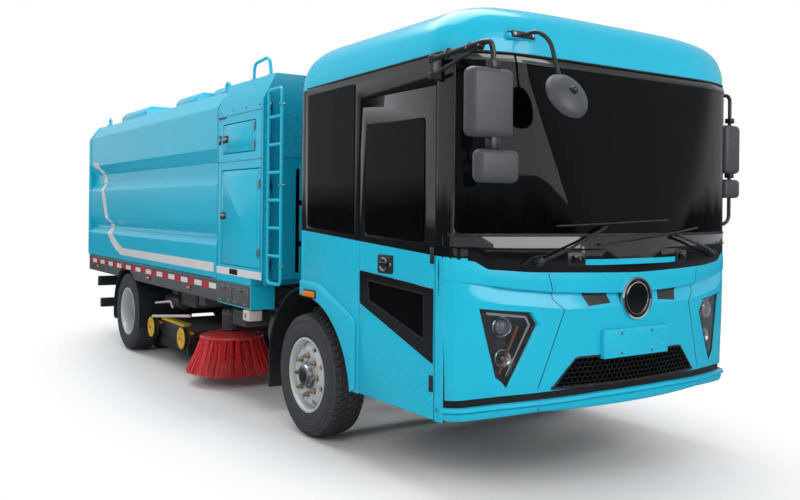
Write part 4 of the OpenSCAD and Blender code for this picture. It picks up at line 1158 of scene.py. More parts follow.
def smooth_curve(points, steps):
    """More points along a curve through the given ones"""
    result = []
    for i in range(len(points) - 1):
        p0, p1, p2, p3 = (Vector(points[max(i - 1, 0)]), Vector(points[i]), Vector(points[i + 1]),
                          Vector(points[min(i + 2, len(points) - 1)]))
        for k in range(steps):
            t = k / steps
            result.append(0.5 * ((2 * p1) + (p2 - p0) * t + (2 * p0 - 5 * p1 + 4 * p2 - p3) * t * t
                                 + (3 * p1 - p0 - 3 * p2 + p3) * t ** 3))
    return result + [Vector(points[-1])]


def roof_ring(inset, rise, drop=0.0):
    """One level of the roof, taken in by inset, rise of the way up"""
    half, front = SIDE_Y - inset, NOSE_X - 0.12 - 0.6 * inset
    rim = max(CORNER_R - 0.25 * inset, 0.06)
    rear, rear_rim = 1.872 + inset * 0.9, 0.03 + 0.2 * inset

    def front_x(y):
        crown = CROWN_X + math.sqrt((CROWN_R - inset * 0.8) ** 2 - y * y)
        x = soft_min(crown, front, 0.06)
        over = abs(y) - (half - rim)
        return x - (rim - math.sqrt(max(rim * rim - over * over, 0))) if over > 0 else x
    line = []
    arc = [math.sin(math.radians(a)) for a in range(0, 91, 9)]
    ys = [half - rim + rim * a for a in arc]
    across = [-(half - rim) + 2 * (half - rim) * i / 26 for i in range(1, 26)]
    for y in [-v for v in reversed(ys)] + across + ys:
        line.append((front_x(y), y))
    side = [line[-1][0] + (rear + rear_rim - line[-1][0]) * i / 16 for i in range(1, 17)]
    line += [(x, half) for x in side]
    line += [(rear + rear_rim - rear_rim * math.sin(math.radians(a)), half - rear_rim
              + rear_rim * math.cos(math.radians(a))) for a in (30, 60, 90)]
    line += [(rear, half - rear_rim - 2 * (half - rear_rim) * i / 12) for i in range(1, 12)]
    line += [(rear + rear_rim - rear_rim * math.sin(math.radians(a)), -half
              + rear_rim - rear_rim * math.cos(math.radians(a))) for a in (90, 60, 30)]
    line += [(x, -half) for x in reversed(side)]
    ring = []
    for x, y in line:
        low = 2.413 + 0.0254 * (min(x, 3.5) - 1.856)
        ring.append(Vector((x, y, low + rise * (ROOF_Z - low) - drop)))
    return ring


def cab_roof():
    """Crowned roof shell with its drip edge and lining"""
    rows = [roof_ring(0.045, 0, 0.004), roof_ring(0.006, 0, 0.006), roof_ring(-0.003, 0, 0.003)]
    rows += [roof_ring(p[1], p[0]) for p in smooth_curve(ROOF_CURVE, 3)]
    rows.append(roof_ring(0.8, 1.0, -0.003))
    shell = capped(sheet_of(rows, "cyan", closed=True), len(rows[0]), len(rows))
    paint(shell, "headliner", lambda c, n: n.z < -0.9 and c.z < 2.5)
    drip = tube([p + Vector((0, 0, -0.004)) for p in roof_ring(-0.004, 0)[:63]], 0.005, "trim_black", 0, 1)
    base = block((3.64, -0.9, 2.528), (3.705, -0.7, 2.56), "cyan", 0.012, 3)
    piece("roof", "chassis", [shell, drip, base], ["cab_roof"])


def door():
    """A door leaf, its two panes, handle, seals and hinges"""
    leaf = of_node("door_right", "cyan", 0.0035)
    split_at(leaf, *BELT_SIDE)
    point, normal = BELT_SIDE
    paint(leaf, "gloss_black", lambda c, n: c.y < -1.19 and (c - point).dot(normal) > 0)
    paint(leaf, "cabin_plastic", lambda c, n: c.y > -1.19 and not (abs(c.y) > 1.152 and abs(n.y) < 0.5))
    paint(leaf, "rubber", lambda c, n: abs(n.y) < 0.5 and abs(c.y) > 1.152 and abs(c.y) < 1.197)
    upper = wrapped([(2.728, 1.44), (3.352, 1.412), (3.352, 2.11), (2.728, 2.105)], on_cab_side, 0.0045, 0.005,
                    "tinted_glass", step=0, corner=0.035, edge=0.001, rings=1)
    outer = [(2.669, 1.217), (3.448, 1.165), (3.448, 0.752), (2.673, 1.012)]
    inner = [(2.765, 1.162), (3.358, 1.128), (3.362, 0.874), (2.791, 1.036)]
    border = wrapped(outer, on_cab_side, 0.0035, 0.004, "gloss_black", step=0, corner=0.012, edge=0.001, rings=1)
    border = cut(border, prism(inner, "Y", -1.3, -1.1, "gloss_black", edge=0, corner=0.02))
    lower = wrapped([(u + (0.004 if u > 3 else -0.004), v) for u, v in inner], on_cab_side, -0.003, 0.005,
                    "tinted_glass", step=0, corner=0.02)
    lip = ribbon([inner[0], inner[1], inner[2], inner[3], inner[0]], on_cab_side, 0.008, 0.008, 0.0045, "rubber")
    middle = (2.962, 1.268)
    plate = wrapped([(middle[0] - 0.083, middle[1] - 0.053), (middle[0] + 0.083, middle[1] - 0.053),
                     (middle[0] + 0.083, middle[1] + 0.057), (middle[0] - 0.083, middle[1] + 0.057)], on_cab_side,
                    0.005, 0.005, "trim_black", step=0, corner=0.014, edge=0.0015)
    ring = lathe([(0.026, 0.0), (0.04, 0.0), (0.043, 0.006), (0.038, 0.01), (0.03, 0.006), (0.027, 0.002)],
                 (middle[0] - 0.012, -1.2055, middle[1]), -SIDEWAYS, "zinc", 32)
    paddle = block((middle[0] - 0.05, -1.22, middle[1] - 0.012), (middle[0] + 0.036, -1.206, middle[1] + 0.018),
                   "gloss_black", 0.006, 3)
    key = lathe([(0, 0), (0.012, 0), (0.012, 0.004), (0.009, 0.006), (0, 0.006)], (middle[0] + 0.06, -1.205, middle[1]),
                -SIDEWAYS, "zinc", 20)
    hinges = [block((3.418, -1.2075, z), (3.452, -1.1995, z + 0.09), "trim_black", 0.003) for z in (0.6, 1.3)]
    inner_rim = [rod((2.69, -1.1505, z), (3.43, -1.1505, z), 0.01, "rubber", 8) for z in (0.47, 2.255)]
    pull = tube([(2.8, -1.15, 1.3), (2.8, -1.105, 1.3), (3.15, -1.105, 1.3), (3.15, -1.15, 1.3)], 0.012,
                "cabin_plastic", 0.04)
    pair("door_*_leaf", "door_*", [leaf, border, lip, plate, ring, paddle, key, pull] + hinges + inner_rim,
         ["door_*"])
    pair("door_*_panes", "door_*", [upper, lower], ["door_glass_*"])


ARCH = (1.93, 0.35)                                                  # x, z of the front wheel arch's centre


def arch_flares():
    """Raised lip round the front wheel arch, and the side marker"""
    outer = [(1.873, 1.085), (1.886, 1.098), (2.121, 1.096), (2.192, 1.086), (2.4, 0.999), (2.602, 0.915),
             (2.634, 0.88), (2.634, 0.47)]
    edge = arc(*ARCH, 0.646, [8 + k * (95.0 - 8) / 24 for k in range(25)])
    flare = wrapped(outer + edge[:-1] + [(1.873, 0.992)], on_cab_side, 0.014, 0.016, "cyan", step=0, edge=0.006)
    lip = tube([Vector((x, -1.2, z)) for x, z in edge], 0.011, "trim_black", 0, 2)
    inside = prism(arc(*ARCH, 0.64, range(8, 97, 8)) + arc(*ARCH, 0.652, range(96, 7, -8)), "Y", -1.196, -0.93,
                   "trim_black", edge=0)
    marker = wrapped(oblong(1.948, 0.994, 2.109, 1.032), on_cab_side, 0.03, 0.018,
                     "lens_amber", step=0, corner=0.006, edge=0.004)
    seat = wrapped(oblong(1.938, 0.985, 2.119, 1.041), on_cab_side, 0.018, 0.006,
                   "trim_black", step=0, corner=0.008, edge=0.0015)
    pair("arch_flare_*", "chassis", [flare, lip, seat, inside])
    pair("side_marker_*", "chassis", [marker])


def mirror_head(lo, hi, corner=0.035):
    """A mirror housing rounded at the front with its glass set into the rear face"""
    lo, hi = Vector(lo), Vector(hi)
    shell = block(lo, hi, "mirror_shell", corner, 5)
    glass = block((lo.x - 0.002, lo.y + 0.022, lo.z + 0.022), (lo.x + 0.006, hi.y - 0.022, hi.z - 0.022),
                  "mirror_glass", 0.002)
    return [shell, glass]


def mirrors():
    """Main and kerb mirrors, their arms, and the round front mirror"""
    x = 3.975
    parts = mirror_head((x - 0.045, -1.4, 1.95), (x + 0.05, -1.13, 2.29))
    parts += mirror_head((x - 0.042, -1.345, 1.73), (x + 0.045, -1.085, 1.895))
    parts += [tube([(3.485, -1.25, 2.405), (x - 0.06, -1.257, 2.43), (x, -1.25, 2.425), (x, -1.235, 2.37),
                    (x, -1.235, 1.8)], 0.014, "trim_black", 0.06, 3),
              tube([(3.485, -1.25, 2.315), (3.88, -1.25, 2.412)], 0.011, "trim_black", 0, 3),
              block((3.462, -1.262, 2.296), (3.502, -1.197, 2.434), "trim_black", 0.006),
              block((x - 0.026, -1.262, 2.285), (x + 0.026, -1.205, 2.335), "trim_black", 0.006),
              block((x - 0.026, -1.262, 1.885), (x + 0.026, -1.205, 1.96), "trim_black", 0.006),
              rod((3.482, -1.25, 2.385), (3.482, -1.25, 2.425), 0.022, "trim_black", 20, 0.003),
              rod((3.482, -1.25, 2.297), (3.482, -1.25, 2.333), 0.02, "trim_black", 20, 0.003)]
    for bolt_x in (3.62, 3.8, 3.9):
        parts.append(rod((bolt_x, -1.262, 2.4), (bolt_x, -1.238, 2.44), 0.019, "trim_black", 14, 0.003))
    base = Vector((3.704, -0.8, 2.548))
    parts += [block((3.655, -0.885, 2.536), (3.712, -0.715, 2.573), "trim_black", 0.008, 3),
              tube([base, (3.8, -0.787, 2.565), (3.885, -0.77, 2.5), (3.93, -0.757, 2.33), (3.962, -0.747, 2.235)],
                   0.012, "trim_black", 0.08, 3)]
    parts += [hex_bolt((3.712, y, 2.555), AHEAD, 0.008, "zinc", 0.5) for y in (-0.865, -0.735)]
    axis = Vector((math.sin(math.radians(62)), 0, math.cos(math.radians(62))))
    centre = Vector((3.973, -0.745, 2.19))
    parts += [lathe([(0.0, -0.006), (0.128, 0.0), (0.135, 0.01), (0.132, 0.024), (0.118, 0.04), (0.08, 0.056),
                     (0.035, 0.066), (0.0, 0.068)], centre, axis, "mirror_shell", 48),
              lathe([(0.0, -0.01), (0.11, -0.003), (0.122, 0.002), (0.0, 0.002)], centre, axis, "mirror_glass", 48),
              ball(centre + axis * 0.068, (0.024, 0.024, 0.024), "trim_black", 16, 8)]
    x = 3.505
    parts += mirror_head((x - 0.04, 1.225, 1.87), (x + 0.042, 1.4, 2.21))
    parts += mirror_head((x - 0.038, 1.225, 1.7), (x + 0.04, 1.4, 1.83), 0.03)
    parts += [tube([(3.485, 1.205, 2.408), (x, 1.32, 2.425), (x, 1.32, 1.53), (3.485, 1.205, 1.502)], 0.013,
                   "trim_black", 0.07, 3),
              block((3.46, 1.197, 2.375), (3.508, 1.216, 2.44), "trim_black", 0.005),
              block((3.462, 1.197, 1.47), (3.506, 1.216, 1.535), "trim_black", 0.005)]
    for z in (2.225, 1.84):
        parts.append(block((x - 0.024, 1.296, z), (x + 0.024, 1.344, z + 0.035), "trim_black", 0.006))
    piece("mirror_set", "chassis", parts, ["mirrors"])


def cushion(lo, hi, crown, name, lean=0.0, pivot=None):
    """A padded block: crowned faces, sides drawn in between rounded corners, two sewn channels"""
    lo, hi = Vector(lo), Vector(hi)
    size, middle = hi - lo, (lo + hi) / 2
    deselect()
    bpy.ops.mesh.primitive_cube_add(size=1, location=(0, 0, 0))
    obj = bpy.context.object
    obj.scale = size * 0.97
    settle(obj, "seat_cloth")
    editing_all()
    bpy.ops.mesh.bevel(offset=min(size) * 0.26, segments=3, affect="EDGES")
    bpy.ops.mesh.select_all(action="SELECT")
    bpy.ops.mesh.subdivide(number_cuts=5)
    done()
    half = size / 2
    thin = min(range(3), key=lambda i: size[i])
    wide = [i for i in range(3) if i != thin]
    for v in obj.data.vertices:
        a, b = v.co[wide[0]] / half[wide[0]], v.co[wide[1]] / half[wide[1]]
        swell = max(0, 1 - a * a) * max(0, 1 - b * b)
        v.co[thin] += math.copysign(crown * swell * min(abs(v.co[thin]) / half[thin], 1), v.co[thin])
        channel = sum(math.exp(-((v.co.y - y) / 0.008) ** 2) for y in (-half.y * 0.45, half.y * 0.45))
        v.co[thin] -= math.copysign(0.01 * channel * swell ** 0.3, v.co[thin])
    obj.data.transform(Matrix.Translation(middle))
    if lean:
        obj.data.transform(Matrix.Translation(pivot) @ Matrix.Rotation(math.radians(lean), 4,
                "Y") @ Matrix.Translation(-Vector(pivot)))
    modifier = obj.modifiers.new("soft", "SUBSURF")
    modifier.levels = modifier.render_levels = 1
    apply_all(obj)
    piece(name, "chassis", [obj], angle=60)
    return obj


def cab_inside():
    """Dashboard, steering wheel and seats"""
    top = prism([(3.245, 1.03), (3.245, 1.27), (3.29, 1.335), (3.46, 1.348), (3.476, 1.33), (3.476, 1.03)], "Y", -1.08,
                1.08, "cabin_plastic", edge=0.012, rings=3)
    console = block((3.3, -0.3, 0.952), (3.476, 0.3, 1.04), "cabin_plastic", 0.01)
    binnacle = prism([(3.19, 1.28), (3.2, 1.36), (3.3, 1.42), (3.4, 1.4), (3.4, 1.3)], "Y", 0.36, 0.74, "cabin_plastic",
                     edge=0.02, rings=4)
    screen = block((3.232, -0.18, 1.17), (3.252, 0.16, 1.31), "gloss_black", 0.005)
    vents = [block((3.238, y, 1.2), (3.25, y + 0.13, 1.255), "trim_black", 0.003) for y in (-0.95, -0.55, 0.82)]
    centre = Vector((3.01, 0.55, 1.44))
    tilt = Matrix.Translation(centre) @ Matrix.Rotation(math.radians(-35), 4, "Y")
    rim = tube([tilt @ Vector((u, v, 0)) for u, v in arc(0, 0, 0.215, range(0, 360, 10))], 0.016, "trim_black", 0, 3,
               closed=True)
    spokes = [tube([tilt @ Vector((0.02 * c, 0.02 * s, -0.02)), tilt @ Vector((0.12 * c, 0.12 * s, -0.03)),
                    tilt @ Vector((0.21 * c, 0.21 * s, 0))], 0.013, "trim_black", 0.05, 2)
              for c, s in ((0, 1), (0, -1), (-1, 0))]
    hub = lathe([(0, -0.05), (0.06, -0.045), (0.065, -0.02), (0.05, 0.0), (0, 0.004)], centre,
                tilt.to_3x3() @ UP, "cabin_plastic", 24)
    column = rod(tilt @ Vector((0, 0, -0.04)), tilt @ Vector((0, 0, -0.34)), 0.03, "cabin_plastic", 20, 0.004)
    piece("dashboard_trim", "chassis", [top, console, binnacle, screen, rim, hub, column] + vents + spokes,
          ["dashboard"])
    frames = []
    for hand, y in (("right", -0.55), ("left", 0.55)):
        frames += [block((2.18, y - 0.17, 1.05), (2.56, y + 0.17, 1.24), "cabin_plastic", 0.02, 3),
                   block((2.15, y - 0.22, 1.235), (2.6, y + 0.22, 1.302), "trim_black", 0.01)]
        cushion((2.13, y - 0.25, 1.3), (2.64, y + 0.25, 1.41), 0.016, f"seat_cushion_{hand}")
        cushion((2.152, y - 0.243, 1.41), (2.258, y + 0.243, 1.97), 0.014, f"seat_back_{hand}", lean=-8,
                pivot=(2.15, y, 1.405))
    piece("seat_frames", "chassis", frames, ["seats"])


def nose():
    """The nose as one painted panel"""
    piece("nose_panel", "chassis", [nose_shell()])


# ---- Cabinet, ladder and hopper ----

HATCH = (0.454, 1.102, 2.04, 2.286)                                   # x0, x1, z0, z1 of the upper hatch
LOCKER = (0.42, 1.2, 1.125, 1.905)


def latch(x, z, y=-1.215, wide=0.055, high=0.03):
    """A flush paddle latch: plate, cup and lever"""
    return [block((x - wide, y - 0.004, z - high), (x + wide, y + 0.006, z + high), "trim_black", 0.003),
            block((x - wide * 0.7, y - 0.009, z - high * 0.55), (x + wide * 0.55, y - 0.002, z + high * 0.45), "zinc",
                  0.003), lathe([(0, 0), (0.007, 0), (0.007, 0.004), (0.004, 0.006), (0, 0.006)],
                                (x + wide * 0.8, y - 0.003, z), -SIDEWAYS, "zinc", 14)]


def side_bolt(x, z, y=-1.215, size=0.009):
    """A hexagon bolt that faces right"""
    return hex_bolt((x, y, z), -SIDEWAYS, size, "zinc", 0.5)


def cabinet_door(node, box, hinge_z, handle):
    """A pressed door on the cabinet with a raised field, hinges and a latch"""
    leaf = of_node(node, "cyan", 0.004)
    x0, x1, z0, z1 = box
    field = wrapped(oblong(x0 + 0.05, z0 + 0.05, x1 - 0.05, z1 - 0.05),
                    on_cabinet, 0.004, 0.006, "cyan", step=0, corner=0.02, edge=0.003)
    hinges = []
    for z in hinge_z:
        hinges += [rod((x1 - 0.006, -1.222, z - 0.035), (x1 - 0.006, -1.222, z + 0.035), 0.007, "zinc", 10, 0.0015),
                   block((x1 - 0.045, -1.219, z - 0.028), (x1 - 0.008, -1.2145, z + 0.028), "zinc", 0.0015, 1)]
    bolts = [side_bolt(x, z, -1.2152, 0.006) for x in (x0 + 0.025, x1 - 0.025) for z in (z0 + 0.025, z1 - 0.025)]
    return [leaf, field] + hinges + bolts + latch(*handle, y=-1.219)


def cabinet_doors():
    """The locker door and the hatch, on both sides"""
    pair("locker_*", "locker_door_*", cabinet_door("locker_door_right", LOCKER, (1.25, 1.78), (0.475, 1.53)),
         ["locker_door_*"])
    pair("hatch_*_leaf", "hatch_*", cabinet_door("hatch_right", HATCH, (2.09, 2.235), (0.51, 2.163)),
         ["hatch_*"])


def cabinet():
    """Equipment cabinet with its front wall, seams, bolts, vents and tool boxes"""
    shell = of_node("equipment_cabinet", "cyan", 0.006, 3)
    # forward faces of the front wall, in the gap behind the cab, get painted shade, a darker copy of the body colour
    paint(shell, "cyan_painted_shade", lambda c, n: n.x > 0.9 and c.x > 1.2)
    paint(shell, "frame_paint", lambda c, n: abs(c.y) < 1.17 and c.z < 2.4 and abs(n.y) > 0.5 or n.z < -0.9)
    parts = [shell]
    for z0, z1 in ((1.02, 1.3), (1.34, 1.62), (1.66, 1.94)):             # pressed fields of the front wall, in the same painted shade
        parts.append(block((1.238, -0.9, z0), (1.249, 0.9, z1), "cyan_painted_shade", 0.005))
    # the upper field, the louvres and the edge uprights below are in the same painted shade
    parts.append(block((1.238, -1.05, 1.99), (1.248, 1.05, 2.38), "cyan_painted_shade", 0.006))
    for k in range(9):
        parts.append(prism([(1.2475, 2.06 + k * 0.032), (1.262, 2.052 + k * 0.032), (1.2475, 2.078 + k * 0.032)], "Y",
                           -0.42, 0.42, "cyan_painted_shade", edge=0.001, rings=1))
    for hand in BOTH_SIDES:
        parts.append(block((1.236, hand * 1.165 - 0.03, 1.0), (1.25, hand * 1.165 + 0.03, 2.46), "cyan_painted_shade", 0.004))
    piece("cabinet_shell", "chassis", parts, ["equipment_cabinet"], crisp=True)
    side = [side_bolt(x, 2.395) for x in (0.4, 0.66, 0.92, 1.18)]
    side += [side_bolt(x, 1.985, size=0.007) for x in (0.385, 0.79, 1.205)]
    side += [block((0.333, -1.2165, z), (1.24, -1.2145, z + 0.003), "trim_black", 0) for z in (1.972, 2.352)]
    side += [block((x, -1.2165, 1.06), (x + 0.003, -1.2145, 2.425), "trim_black", 0) for x in (0.352, 1.222)]
    side += latch(0.39, 2.163, wide=0.022, high=0.04)
    side += [block((0.62, -1.219, 1.052), (0.78, -1.214, 1.098), "trim_black", 0.003),
             block((0.36, -1.2185, 2.335), (0.52, -1.2145, 2.349), "trim_black", 0.002, 1)]
    for k in range(6):
        side.append(rod((0.63 + k * 0.026, -1.2195, 1.06), (0.63 + k * 0.026, -1.2195, 1.09), 0.004, "rubber", 6))
    box = [block((0.335, -1.209, 0.8), (1.032, -1.005, 0.985), "rail_grey", 0.008, 3),
           block((0.37, -1.214, 0.825), (0.66, -1.207, 0.962), "rail_grey", 0.004),
           block((0.7, -1.214, 0.825), (0.995, -1.207, 0.962), "rail_grey", 0.004)]
    box += latch(0.515, 0.94, y=-1.214, wide=0.03, high=0.016) + latch(0.85, 0.94, y=-1.214, wide=0.03, high=0.016)
    box += [rod((x, -1.216, 0.832), (x + 0.05, -1.216, 0.832), 0.006, "zinc", 8) for x in (0.4, 0.58, 0.73, 0.91)]
    box += [block((0.9, -1.218, 0.705), (1.02, -1.1, 0.79), "pipe_white", 0.01, 3),
            block((0.955, -1.222, 0.73), (0.965, -1.216, 0.765), "trim_black", 0.002, 1)]
    pair("cabinet_side_*", "chassis", side + box)


def ladder():
    """Access ladder, its stand-offs, and the grab rail on the roof"""
    y = -1.18
    parts = [tube([(1.27, y, 2.3), (1.27, y, 2.49), (1.5, y, 2.49), (1.5, y, 1.03), (1.27, y, 1.03), (1.27, y, 2.31)],
                  0.0135, "cyan", 0.045, 3)]
    rung = [rod((1.27, y, 0), (1.5, y, 0), 0.0115, "cyan", 14)]
    for k in range(4):
        rung.append(rod((1.3 + k * 0.056, y, 0), (1.316 + k * 0.056, y, 0), 0.0128, "cyan", 14, 0.0015))
    parts.append(copies(joined(rung), moves(*[(0, 0, 1.03 + i * 1.46 / 7) for i in range(1, 7)])))
    for z in (1.15, 1.75, 2.35):
        parts += [block((1.241, y - 0.01, z), (1.275, y + 0.01, z + 0.03), "cyan", 0.003),
                  block((1.242, y - 0.012, z - 0.03), (1.25, y + 0.045, z + 0.06), "cyan", 0.002)]
        parts += [hex_bolt((1.2495, y + 0.025, z + dz), AHEAD, 0.007, "zinc", 0.5) for dz in (-0.015, 0.045)]
        parts += [rod((1.5, y - 0.02, z + 0.015), (1.5, y + 0.02, z + 0.015), 0.01, "zinc", 10, 0.002)]
    parts.append(tube([(0.767, -1.08, 2.63), (0.775, -1.08, 2.77), (1.06, -1.08, 2.79), (1.095, -1.08, 2.64)], 0.013,
                      "cyan", 0.06, 3))
    for x in (0.767, 1.093):
        parts.append(block((x - 0.03, -1.105, 2.634), (x + 0.03, -1.06, 2.644), "cyan", 0.003))
    piece("access_ladder", "chassis", parts, ["ladder"])


def hopper_outline(inset=0.0):
    """The hopper's cross-section (y, z), drawn in by an inset"""
    side = [(y - inset, z) for y, z in HOPPER_SIDE]
    side[0] = (side[0][0], 0.99 + inset)
    side[-1] = (side[-1][0], side[-1][1] - inset * 0.5)
    top = [(0.9, 2.63 - inset), (-0.9, 2.63 - inset)]
    return side + top + [(-y, z) for y, z in reversed(side)]


def hopper_body():
    """Ridged hopper shell with rounded creases, end frames and the fittings under it"""
    shell = prism(hopper_outline(), "X", -4.0, 0.32, "cyan", edge=0, corner=0.016, corner_rings=3)
    inside = prism([(-1.085, 1.06), (-1.085, 2.41), (-1.02, 2.53), (1.02, 2.53), (1.085, 2.41), (1.085, 1.06)], "X",
                   -4.1, 0.25, "pale_cyan", edge=0)
    shell = cut(shell, inside)
    paint(shell, "zinc", lambda c, n: abs(c.y) < 1.1 and 1.0 < c.z < 2.55 and -3.999 < c.x < 0.3)
    parts = [shell]
    for x0, x1, lift in ((-4.0, -3.935, 0.007), (0.262, 0.318, 0.004)):
        rim = prism(hopper_outline(-lift), "X", x0, x1, "cyan", edge=0.002, corner=0.016, corner_rings=3)
        parts.append(cut(rim, prism(hopper_outline(0.02), "X", -4.2, 0.5, "cyan", edge=0)))
    for hand in BOTH_SIDES:
        def y(a, b):
            return sorted((hand * a, hand * b))
        for (x0, x1, a, b, z0, z1) in ((-3.6, 0.25, 0.365, 0.42, 0.87, 0.992),
                                       (-3.75, -3.65, 0.335, 0.375, 0.89, 0.992),
                                       (-4.066, -3.99, 0.44, 0.49, 2.53, 2.59),
                                       (-4.066, -3.99, 0.565, 0.615, 2.53, 2.59),
                                       (-2.24, -2.16, 0.05, 0.07, 0.9, 0.992)):
            ya, yb = y(a, b)
            parts.append(block((x0, ya, z0), (x1, yb, z1), "frame_paint", 0.003))
        for (x, z, a, b, r) in ((-3.7, 0.93, 0.336, 0.425, 0.025), (-4.036, 2.56, 0.441, 0.614, 0.015)):
            parts.append(rod((x, hand * a, z), (x, hand * b, z), r, "zinc", 24, 0.003))
    piece("hopper_shell", "hopper", parts, ["hopper"], crisp=True)


def hopper_top():
    """Roof ducts, lifting eyes, roof seams and bolts"""
    parts = []
    for x0, x1, half, high in ((-3.88, -2.87, 0.85, 0.17), (-1.81, -1.17, 0.85, 0.15), (-1.15, -0.38, 0.7, 0.19)):
        z = 2.626
        parts.append(prism([(-half, z), (-half, z + high - 0.056), (0.06 - half, z + high + 0.004),
                            (half - 0.06, z + high + 0.004), (half, z + high - 0.056), (half, z)], "X", x0, x1,
                           "cyan", edge=0.008, rings=3, corner=0.02))
        parts.append(block((x0 - 0.02, -half - 0.02, 2.628), (x1 + 0.02, half + 0.02, 2.636), "cyan", 0.003))
        count = round((x1 - x0) / 0.2)
        bolts = [(x0 + (x1 - x0) * (k + 0.5) / count, hand * (half + 0.009), 2.636) for k in range(count)
                 for hand in (1, -1)]
        parts.append(copies(hex_bolt((0, 0, 0), UP, 0.006, "zinc", 0.5), moves(*bolts)))
        for k in range(1, 4):
            x = x0 + (x1 - x0) * k / 4
            parts.append(block((x - 0.012, -half + 0.09, z + high + 0.001), (x + 0.012, half - 0.09, z + high + 0.01),
                               "cyan", 0.004))
    for x in (-3.7, 0.12):
        for hand in BOTH_SIDES:
            y = hand * 1.04
            eye = prism(arc(x, 2.66, 0.048, range(0, 181, 15)) + [(x - 0.048, 2.6), (x + 0.048, 2.6)], "Y",
                        y - 0.01, y + 0.01, "cyan", edge=0)
            eye = cut(eye, rod((x, y - 0.05, 2.66), (x, y + 0.05, 2.66), 0.022, "cyan", 28))
            parts += [chamfer(eye, 0.002, 1, 50), block((x - 0.07, y - 0.03, 2.612), (x + 0.07, y + 0.03, 2.622),
                    "cyan", 0.002)]
    for x in (-2.4, -0.1):
        parts.append(block((x, -0.9, 2.628), (x + 0.03, 0.9, 2.636), "cyan", 0.003))
    piece("hopper_roof_fittings", "hopper", parts)


TAPE_STEP, TAPE_LENGTH = 0.18, 0.178                                  # the bright tape along the rail and rear
TAPE_COLOURS = ("tape_red", "tape_white")
STRIPE_TOP = [(0.3, 1.125), (-2.5, 1.13), (-2.72, 1.185), (-2.9, 1.255), (-3.02, 1.33), (-3.13, 1.47), (-3.23, 1.64),
              (-3.33, 1.8), (-3.43, 1.96), (-3.6, 2.13), (-3.8, 2.15)]
STRIPE_LOW = [(0.3, 1.045), (-2.56, 1.05), (-2.78, 1.1), (-2.985, 1.18), (-3.12, 1.27), (-3.235, 1.42), (-3.33, 1.59),
              (-3.425, 1.75), (-3.53, 1.9), (-3.66, 2.05), (-3.8, 2.075)]


def hopper_side():
    """Side stripe, rail with its bright tape, marker lamps and side bolts"""
    parts = []
    for (a, b), (c, d) in zip(zip(STRIPE_TOP, STRIPE_LOW), zip(STRIPE_TOP[1:], STRIPE_LOW[1:])):
        parts.append(wrapped([a, c, d, b], on_hopper, 0.0016, 0.002, "stripe_white", step=0.25,
                             rows=[z for _, z in HOPPER_SIDE]))
    rail = block((-3.998, -1.2085, 0.802), (0.318, -1.17, 0.988), "rail_grey", 0.004)
    wheel = rod((REAR_AXLE.x, -1.4, 0.42), (REAR_AXLE.x, -1.0, 0.42), 0.503, "rail_grey", 64)
    parts += [cut(rail, wheel), block((-3.99, -1.2135, 0.958), (0.31, -1.206, 0.98), "rail_grey", 0.003)]
    for first, colour in enumerate(TAPE_COLOURS):
        for k in range(first, 24, 2):
            x = -3.99 + k * TAPE_STEP
            parts.append(block((x, -1.21, 0.902), (min(x + TAPE_LENGTH, 0.312), -1.2083, 0.95), colour, 0.0004, 1))
    for x in (-3.55, -1.55, -0.35):
        parts.append(block((x - 0.055, -1.216, 0.845), (x + 0.055, -1.2075, 0.88), "trim_black", 0.003))
        parts.append(block((x - 0.045, -1.224, 0.851), (x + 0.045, -1.213, 0.874), "lens_amber", 0.004))
    bolts = [(x, 0, 0) for x in (-3.9, -3.2, -1.7, -1.1, -0.5, 0.2)]
    parts.append(copies(side_bolt(0, 0.835, -1.208, 0.007), moves(*bolts)))
    pair("hopper_side_trim_*", "hopper", parts, ["hopper_rails"])
    cabinet_band = wrapped(oblong(0.335, 1.045, 1.238, 1.104), on_cabinet, 0.0012, 0.002,
                           "stripe_white", step=0)
    pair("cabinet_stripe_*", "chassis", [cabinet_band])


def tailgate():
    """Rear door of the hopper with its ribs, locks, lamps and seal"""
    leaf = of_node("tailgate", "cyan", 0.006, 3)
    parts = [leaf]
    for y0, y1 in ((-1.08, -0.62), (-0.54, -0.04), (0.04, 0.54), (0.62, 1.08)):
        parts.append(block((-4.084, y0, 1.1), (-4.066, y1, 2.36), "cyan", 0.008, 3))
        parts.append(block((-4.09, y0 + 0.07, 1.18), (-4.08, y1 - 0.07, 2.28), "cyan", 0.006, 2))
    parts.append(block((-4.01, -1.19, 1.02), (-4.001, 1.19, 1.04), "rubber", 0.003))
    for hand in BOTH_SIDES:
        y = hand * 1.13
        parts += [block((-4.085, y - 0.035, 1.06), (-4.066, y + 0.035, 1.2), "zinc", 0.004),
                  rod((-4.088, y, 1.13), (-4.066, y, 1.13), 0.016, "zinc", 14, 0.003),
                  block((-4.078, hand * 1.02 - 0.09, 2.39), (-4.066, hand * 1.02 + 0.09, 2.43), "lens_red", 0.004),
                  rod((-4.036, hand * 0.5, 2.56), (-4.036, hand * 0.555, 2.56), 0.034, "cyan", 28, 0.003)]
    parts += [hex_bolt((-4.07, y, z), -AHEAD, 0.008, "zinc", 0.5) for y in (-1.17, 1.17)
              for z in (1.35, 1.7, 2.05, 2.38)]
    for k in range(12):
        y = -1.08 + k * TAPE_STEP
        parts.append(block((-4.0905, y, 1.055), (-4.0665, y + TAPE_LENGTH, 1.09), TAPE_COLOURS[k % 2], 0.0006, 1))
    piece("tailgate_leaf", "tailgate", parts, ["tailgate"], crisp=True)


# ---- Wheels ----

TREADS = 54                                                           # tread blocks round each row
NUTS, NUT_R = 8, 0.017
TWIN_GAP = 0.3                                                        # between the middles of twin tyres
RIM_PROFILE = [(0.233, -0.116), (0.262, -0.118), (0.262, -0.104), (0.25, -0.098), (0.247, -0.06), (0.247, 0.1),
               (0.26, 0.104), (0.262, 0.118), (0.256, 0.121), (0.248, 0.12), (0.24, 0.112), (0.236, 0.102),
               (0.233, 0.06), (0.233, -0.1)]


